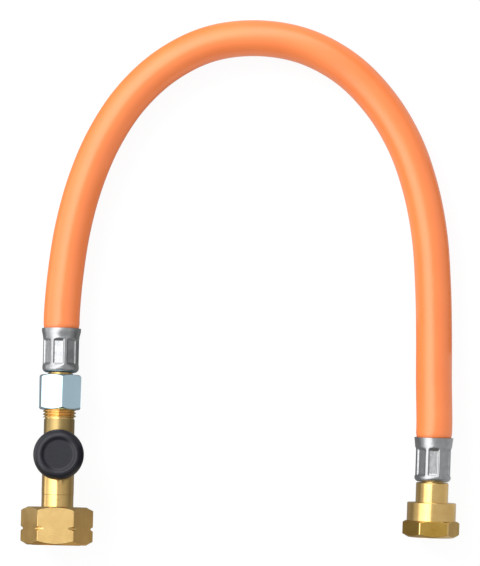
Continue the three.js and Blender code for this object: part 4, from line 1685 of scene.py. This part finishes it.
@dataclass
class RubberHose:
    """The hose, from inside one ferrule round the arch to inside the other."""

    left: Ferrule
    right: Ferrule
    radius: float = 8.65
    bore: float = 4.0
    insert: float = 18.0
    lead: float = 7.0
    pinch: float = 1.1
    gripped: float = 6.4
    mouth_length: float = 4.5
    sides: int = 64
    step: float = 2.0

    # The middle line of the arch in millimetres, from the left leg to the right leg
    route = (
        (-84.0, 77.2, 8.8),
        (-80.4, 100.0, 8.7),
        (-74.3, 122.3, 8.7),
        (-65.2, 143.5, 8.7),
        (-52.4, 162.7, 8.7),
        (-35.4, 178.3, 8.7),
        (-14.8, 188.5, 8.7),
        (8.0, 191.4, 8.7),
        (30.7, 187.6, 8.7),
        (51.0, 176.8, 8.7),
        (67.2, 160.4, 8.7),
        (79.1, 140.7, 8.7),
        (86.7, 118.9, 8.7),
        (91.0, 96.2, 8.7),
        (92.6, 73.1, 8.7),
        (93.1, 49.9, 8.8),
        (93.0, 26.8, 9.7),
    )

    def points(self) -> list[Vector]:
        """Gives the points that the middle line passes through.

        Returns:
            The points, in millimetres.
        """
        leads = (-self.insert, -self.insert / 2, 0, self.lead)
        left, right = (
            [f.place @ Vector((0, (f.top + past) * MM, 0)) / MM for past in leads]
            for f in (self.left, self.right)
        )
        return [*left, *(Vector(p) for p in self.route), *reversed(right)]

    def line(self) -> list[Vector]:
        """Draws a centripetal Catmull-Rom curve through the points.

        Returns:
            The middle line at even steps, in millimetres.
        """
        points = self.points()
        first = points[0] * 2 - points[1]
        last = points[-1] * 2 - points[-2]
        points = [first, *points, last]
        fine = []
        parts = 24
        for a, b, c, d in zip(points, points[1:], points[2:], points[3:]):
            ta = 0.0
            tb = ta + (b - a).length ** 0.5
            tc = tb + (c - b).length ** 0.5
            td = tc + (d - c).length ** 0.5
            for i in range(parts):
                t = tb + (tc - tb) * i / parts
                ab = a.lerp(b, (t - ta) / (tb - ta))
                bc = b.lerp(c, (t - tb) / (tc - tb))
                cd = c.lerp(d, (t - tc) / (td - tc))
                abc = ab.lerp(bc, (t - ta) / (tc - ta))
                bcd = bc.lerp(cd, (t - tb) / (td - tb))
                fine.append(abc.lerp(bcd, (t - tb) / (tc - tb)))
        fine.append(points[-2])
        return self.evenly(fine)

    def evenly(self, fine: Sequence[Vector]) -> list[Vector]:
        """Spaces a line evenly.

        Args:
            fine: Points close together along it.

        Returns:
            Points at even steps.
        """
        lengths = [0.0]
        for a, b in zip(fine, fine[1:]):
            lengths.append(lengths[-1] + (b - a).length)
        count = round(lengths[-1] / self.step)
        line, k = [], 0
        for i in range(count + 1):
            at = lengths[-1] * i / count
            while k < len(fine) - 2 and lengths[k + 1] < at:
                k += 1
            share = (at - lengths[k]) / (lengths[k + 1] - lengths[k])
            line.append(fine[k].lerp(fine[k + 1], share))
        return line

    def girth(self, at: float, whole: float) -> float:
        """Gives the outer radius, which is less where a ferrule grips the hose.

        Args:
            at: The length along the hose.
            whole: The whole length.

        Returns:
            The radius.
        """
        inside = self.insert + self.pinch - min(at, whole - at)
        share = min(max(inside / self.mouth_length, 0), 1)
        return self.radius + (self.gripped - self.radius) * share * share * (3 - 2 * share)

    def stations(self, line: Sequence[Vector]) -> list[Matrix]:
        """Gives a frame for each point of the line.

        Args:
            line: The points.

        Returns:
            The frames, with Z along the line and X level.
        """
        frames = []
        for i, point in enumerate(line):
            along = (line[min(i + 1, len(line) - 1)] - line[max(i - 1, 0)]).normalized()
            level = along.cross(Vector((0, 0, 1))).normalized()
            turn = Matrix((level, along.cross(level), along)).transposed()
            frames.append(Matrix.Translation(point) @ turn.to_4x4())
        return frames

    def build(self) -> None:
        """Sweeps the wall of the hose outside and back through its bore."""
        line = self.line()
        stations = self.stations(line)
        whole = (len(line) - 1) * self.step
        outside = [(s, self.girth(i * self.step, whole)) for i, s in enumerate(stations)]
        rings = [*outside, *((s, self.bore) for s in reversed(stations))]
        blank = Blank()
        station, radius = rings[0]
        bmesh.ops.create_circle(
            blank.bm, cap_ends=False, segments=self.sides, radius=radius, matrix=station
        )
        first = rim = list(blank.bm.edges)
        for (station, radius), (following, wider) in zip(rings, rings[1:]):
            grown = bmesh.ops.extrude_edge_only(blank.bm, edges=rim)["geom"]
            rim = [g for g in grown if isinstance(g, bmesh.types.BMEdge)]
            move = following @ Matrix.Scale(wider / radius, 4) @ station.inverted()
            verts = [g for g in grown if isinstance(g, bmesh.types.BMVert)]
            bmesh.ops.transform(blank.bm, matrix=move, verts=verts)
        bmesh.ops.bridge_loops(blank.bm, edges=[*first, *rim])
        materials = [HOSE_RUBBER.material(Matrix.Identity(4))]
        piece = blank.object("hose_fine", Matrix.Identity(4), materials)
        settle(piece, Body.HOSE, HOSE_RUBBER.slot, "hose")
        path = [p * MM for p in line]
        length = sum((b - a).length for a, b in zip(path, path[1:]))
        self.left.place @ Vector((0, self.left.top * MM, 0))
        2 * self.radius * MM


# Studio


def staged_square(name: str, place: Matrix, material: bpy.types.Material) -> bpy.types.Object:
    """Lays a square of one metre.

    Args:
        name: The object's name.
        place: Moves and stretches it.
        material: Its material.

    Returns:
        The object.
    """
    bm = bmesh.new()
    bmesh.ops.create_grid(bm, x_segments=1, y_segments=1, size=0.5, matrix=place)
    mesh = bpy.data.meshes.new(name)
    bm.to_mesh(mesh)
    bm.free()
    mesh.materials.append(material)
    made = put(name, mesh)
    return made


# How bright each card's painted shade is at so many metres above the floor
BESIDE_BUTTON = ((0.02, 0.05), (0.055, 0.05))
BESIDE_VALVE = ((0, 0.2), (0.015, 0.22), (0.03, 0.35), (0.044, 0.46), (0.085, 0.6))
BESIDE_FERRULE = ((0, 0.12), (0.015, 0.16), (0.03, 0.35), (0.044, 0.5), (0.085, 0.6))
BESIDE_MOUTH = ((0, 0.2), (0.015, 0.3), (0.03, 0.65), (0.044, 0.85), (0.085, 1.0))
BESIDE_REGULATOR = ((0, 0.26), (0.015, 0.3), (0.02, 0.52), (0.031, 0.66), (0.038, 0.9))
OUTSIDE_HOSE = ((0, 0.1), (0.008, 0.16), (0.016, 0.45), (0.03, 0.6))


@dataclass(frozen=True)
class PaintedShadeCard:
    """An upright dark card beside a fitting, which only mirrors see: a painted shade in their
    reflections.
    """

    x: float
    y_range: tuple[float, float]
    levels: tuple[tuple[float, float], ...]

    def build(self, number: int) -> None:
        """Stands the card up, between the heights of its first and last level.

        Args:
            number: Its number among the cards.
        """
        name = f"flag_{number}"
        material, graph = new_material(name)
        low, top = self.levels[0][0], self.levels[-1][0]
        height = graph.axes(graph.coordinates("Object"))[2]
        shade = graph.grays([(at / top, level) for at, level in self.levels], height / top)
        # The card glows grey by height, a painted shade that only mirrors see
        glow = graph.node("ShaderNodeEmission", {}, {"Color": shade})
        graph.node("ShaderNodeOutputMaterial", {}, {"Surface": graph.link(glow, "Emission")})
        foot, end = self.y_range
        middle = Matrix.Translation((self.x, (foot + end) / 2, (low + top) / 2))
        upright = Matrix.Rotation(math.pi / 2, 4, "Y")
        size = Matrix.Diagonal((top - low, end - foot, 1, 1))
        made = staged_square(name, middle @ upright @ size, material)
        for sense in ("camera", "diffuse", "shadow", "transmission"):
            setattr(made, f"visible_{sense}", False)


@dataclass
class Studio:
    """The camera, the pale floor and the soft light, in metres."""

    centre: tuple[float, float] = (-0.0001, 0.0738)
    height: float = 1.91
    frame_height: float = 0.2717
    floor_plane: float = 0.01
    floor_width: float = 8.0
    floor_color: float = 0.6
    floor_shine: float = 0.85
    floor_glow: float = 0.9
    floor_strength: float = 1.02
    ambient: float = 0.8
    panel_power: float = 54.0
    panel_size: float = 1.6
    panel_at: tuple[float, float, float] = (-1.5, 1.57, 1.5)

    # Painted shade and light that mirrors see on the floor: left, between the legs' fittings,
    # inside the arch, right
    painted_floor_levels = (1.45, 0.24, 0.65, 0.64)
    left_edge = (-0.165, -0.14)
    inside_x, inside_y = (-0.03, 0.0), (0.05, 0.06)
    right_edge = (0.09, 0.11)

    # The same painted shade in the stretch of the nuts, from left to right, the first two tinted
    # warm
    painted_nut_shades = ((0.24, 0.17, 0.08), (0.46, 0.36, 0.2), (0.24,) * 3, (0.56,) * 3)
    nut_edges = ((-0.0955, -0.0755), (0.0, 0.02), (0.09, 0.11))
    nuts_end = (-0.038, -0.034)

    # What mirrors see of the walls, by degrees from straight up, and where they darken
    walls = (
        (-95, 0.85), (-80, 0.95), (-65, 1.5), (-48, 2.2), (-24, 3.1), (-9, 2.5), (-3, 0.66),
        (90, 0.58),
    )
    wall_slant = 0.6
    front_edge, front_shade = (0.25, 0.8), 0.75
    corner_way, corner_edge, corner_shade = (0.66, 0.75), (0.75, 0.95), 0.8

    # The painted shade cards right of the left fitting, left of the right one and right of the
    # hose
    painted_shade_cards = (
        PaintedShadeCard(-0.066, (-0.0195, 0.0005), BESIDE_BUTTON),
        PaintedShadeCard(-0.045, (-0.034, 0.0125), BESIDE_VALVE),
        PaintedShadeCard(-0.045, (0.033, 0.046), BESIDE_FERRULE),
        PaintedShadeCard(-0.045, (0.046, 0.055), BESIDE_MOUTH),
        PaintedShadeCard(-0.045, (0.055, 0.12), BESIDE_FERRULE),
        PaintedShadeCard(0.05, (-0.07, 0.05), BESIDE_REGULATOR),
        PaintedShadeCard(0.112, (0.04, 0.14), OUTSIDE_HOSE),
    )

    def build(self) -> None:
        """Sets everything up."""
        self.camera()
        self.floor()
        self.world()
        self.lamp()
        for number, shade_card in enumerate(self.painted_shade_cards):
            shade_card.build(number)
        bpy.context.scene.view_settings.view_transform = "Standard"

    def camera(self) -> None:
        """Looks straight down, with the picture's height on the camera's long side."""
        data = bpy.data.cameras.new("camera")
        half = self.frame_height / 2 / (self.height - self.floor_plane)
        data.lens = data.sensor_width / 2 / half
        data.clip_start, data.clip_end = 0.05, 20.0
        made = put("camera", data)
        made.location = (*self.centre, self.height)
        bpy.context.scene.camera = made

    def floor(self) -> None:
        """Lays a pale floor that keeps a soft shadow and that metal mirrors mostly dimmer, with
        painted shade and light by place.
        """
        material, graph = new_material("floor")
        rays = graph.node("ShaderNodeLightPath")
        camera, glossy, through = (
            graph.link(rays, f"Is {kind} Ray") for kind in ("Camera", "Glossy", "Transmission")
        )
        glow = camera * self.floor_glow + (glossy + through) * self.floor_shine
        pale = graph.mix(camera, (self.floor_color,) * 3, WHITE)
        matte = graph.node("ShaderNodeBsdfDiffuse", {}, {"Color": pale})
        # Mirrors see the floor's painted shade and light, the camera sees it white
        shown = graph.mix(camera, self.mirrored_floor(graph), WHITE)
        lit = {"Color": shown, "Strength": self.floor_strength}
        white = graph.node("ShaderNodeEmission", {}, lit)
        shaders = {0: glow, 1: graph.link(matte, "BSDF"), 2: graph.link(white, "Emission")}
        mixed = graph.node("ShaderNodeMixShader", {}, shaders)
        graph.node("ShaderNodeOutputMaterial", {}, {"Surface": graph.link(mixed, "Shader")})
        staged_square("floor", Matrix.Scale(self.floor_width, 4), material)

    def mirrored_floor(self, graph: Graph) -> Link:
        """Paints the shade and light, zone by zone, on the floor that mirrors see.

        Args:
            graph: The floor's graph.

        Returns:
            Its colour.
        """
        x, y, _ = graph.axes(graph.coordinates("Object"))
        left, near, inside, right = ((level,) * 3 for level in self.painted_floor_levels)
        near = graph.mix(x.between(*self.inside_x) * y.between(*self.inside_y), near, inside)
        by_nuts = self.painted_nut_shades[0]
        for edge, color in zip(self.nut_edges, self.painted_nut_shades[1:]):
            by_nuts = graph.mix(x.between(*edge), by_nuts, color)
        beyond = graph.mix(x.between(*self.left_edge), left, near)
        beyond = graph.mix(x.between(*self.right_edge), beyond, right)
        return graph.mix(y.between(*self.nuts_end), by_nuts, beyond)

    def world(self) -> None:
        """Makes a white backdrop, and walls that metal mirrors, bright towards the panel."""
        world = bpy.data.worlds.new("studio")
        world.use_nodes = True
        bpy.context.scene.world = world
        graph = Graph(world.node_tree)
        x, y, z = graph.axes(graph.coordinates("Generated"))
        turn = graph.math("ARCTAN2", x - y * self.wall_slant, z) / math.tau + 0.5
        walls = graph.grays([(angle / 360 + 0.5, level) for angle, level in self.walls], turn)
        front = (0 - y).between(*self.front_edge) * self.front_shade
        right, back = self.corner_way
        corner = (x * right + y * back).between(*self.corner_edge) * self.corner_shade
        walls = graph.mix(1 - graph.math("MAXIMUM", front, corner), BLACK, walls)
        rays = graph.node("ShaderNodeLightPath")
        color = graph.mix(graph.link(rays, "Is Glossy Ray"), (self.ambient,) * 3, walls)
        color = graph.mix(graph.link(rays, "Is Camera Ray"), color, WHITE)
        sky = graph.node("ShaderNodeBackground", {}, {"Color": color})
        graph.node("ShaderNodeOutputWorld", {}, {"Surface": graph.link(sky, "Background")})

    def lamp(self) -> None:
        """Hangs one broad panel over the upper left, whose glare is left to the walls."""
        data = bpy.data.lights.new("panel", "AREA")
        data.shape = "SQUARE"
        data.size = self.panel_size
        data.energy = self.panel_power
        made = put("panel", data)
        made.location = self.panel_at
        made.rotation_euler = Vector(self.panel_at).to_track_quat("Z", "Y").to_euler()
        made.visible_glossy = False


def dress_inner_pieces(place: Matrix) -> None:
    """Gives the hidden pieces that keep their CAD shape a finish.

    Args:
        place: The left fitting's place, in metres.
    """
    for node, finish in (("poppet", TURNED_BRASS), ("stem_clip", PLAIN_STEEL)):
        material = finish.material(place)
        for slot in frame["nodes"][node].material_slots:
            slot.material = material
        LOG.info("%s keeps its shape", node)


def main() -> None:
    """Builds the hose assembly in its studio."""
    logging.basicConfig(level=logging.INFO, format="%(message)s")
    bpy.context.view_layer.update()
    Studio().build()
    left = fitting_place("bottle_nut_swivel")
    right = fitting_place("regulator_nut_swivel")
    union = BottleUnion(left)
    valve = ExcessFlowValve(union)
    button = PushButton(valve)
    joint = CompressionJoint(valve)
    regulator = RegulatorUnion(right)
    sleeves = (
        Ferrule(
            "left_ferrule", left, joint.ferrule_foot, flare=(4.6, 0.9), indent=(4.7, 15.1),
            turn=-5.4, foot_slope=1.5,
        ),
        Ferrule(
            "right_ferrule", right, regulator.ferrule_foot, flare=(6.2, 0.0), indent=(3.8, 15.1),
            turn=-0.8,
        ),
    )
    for assembly in (RubberHose(*sleeves), union, valve, button, joint, regulator, *sleeves):
        assembly.build()
    dress_inner_pieces(left)


if __name__ == "__main__":
    main()
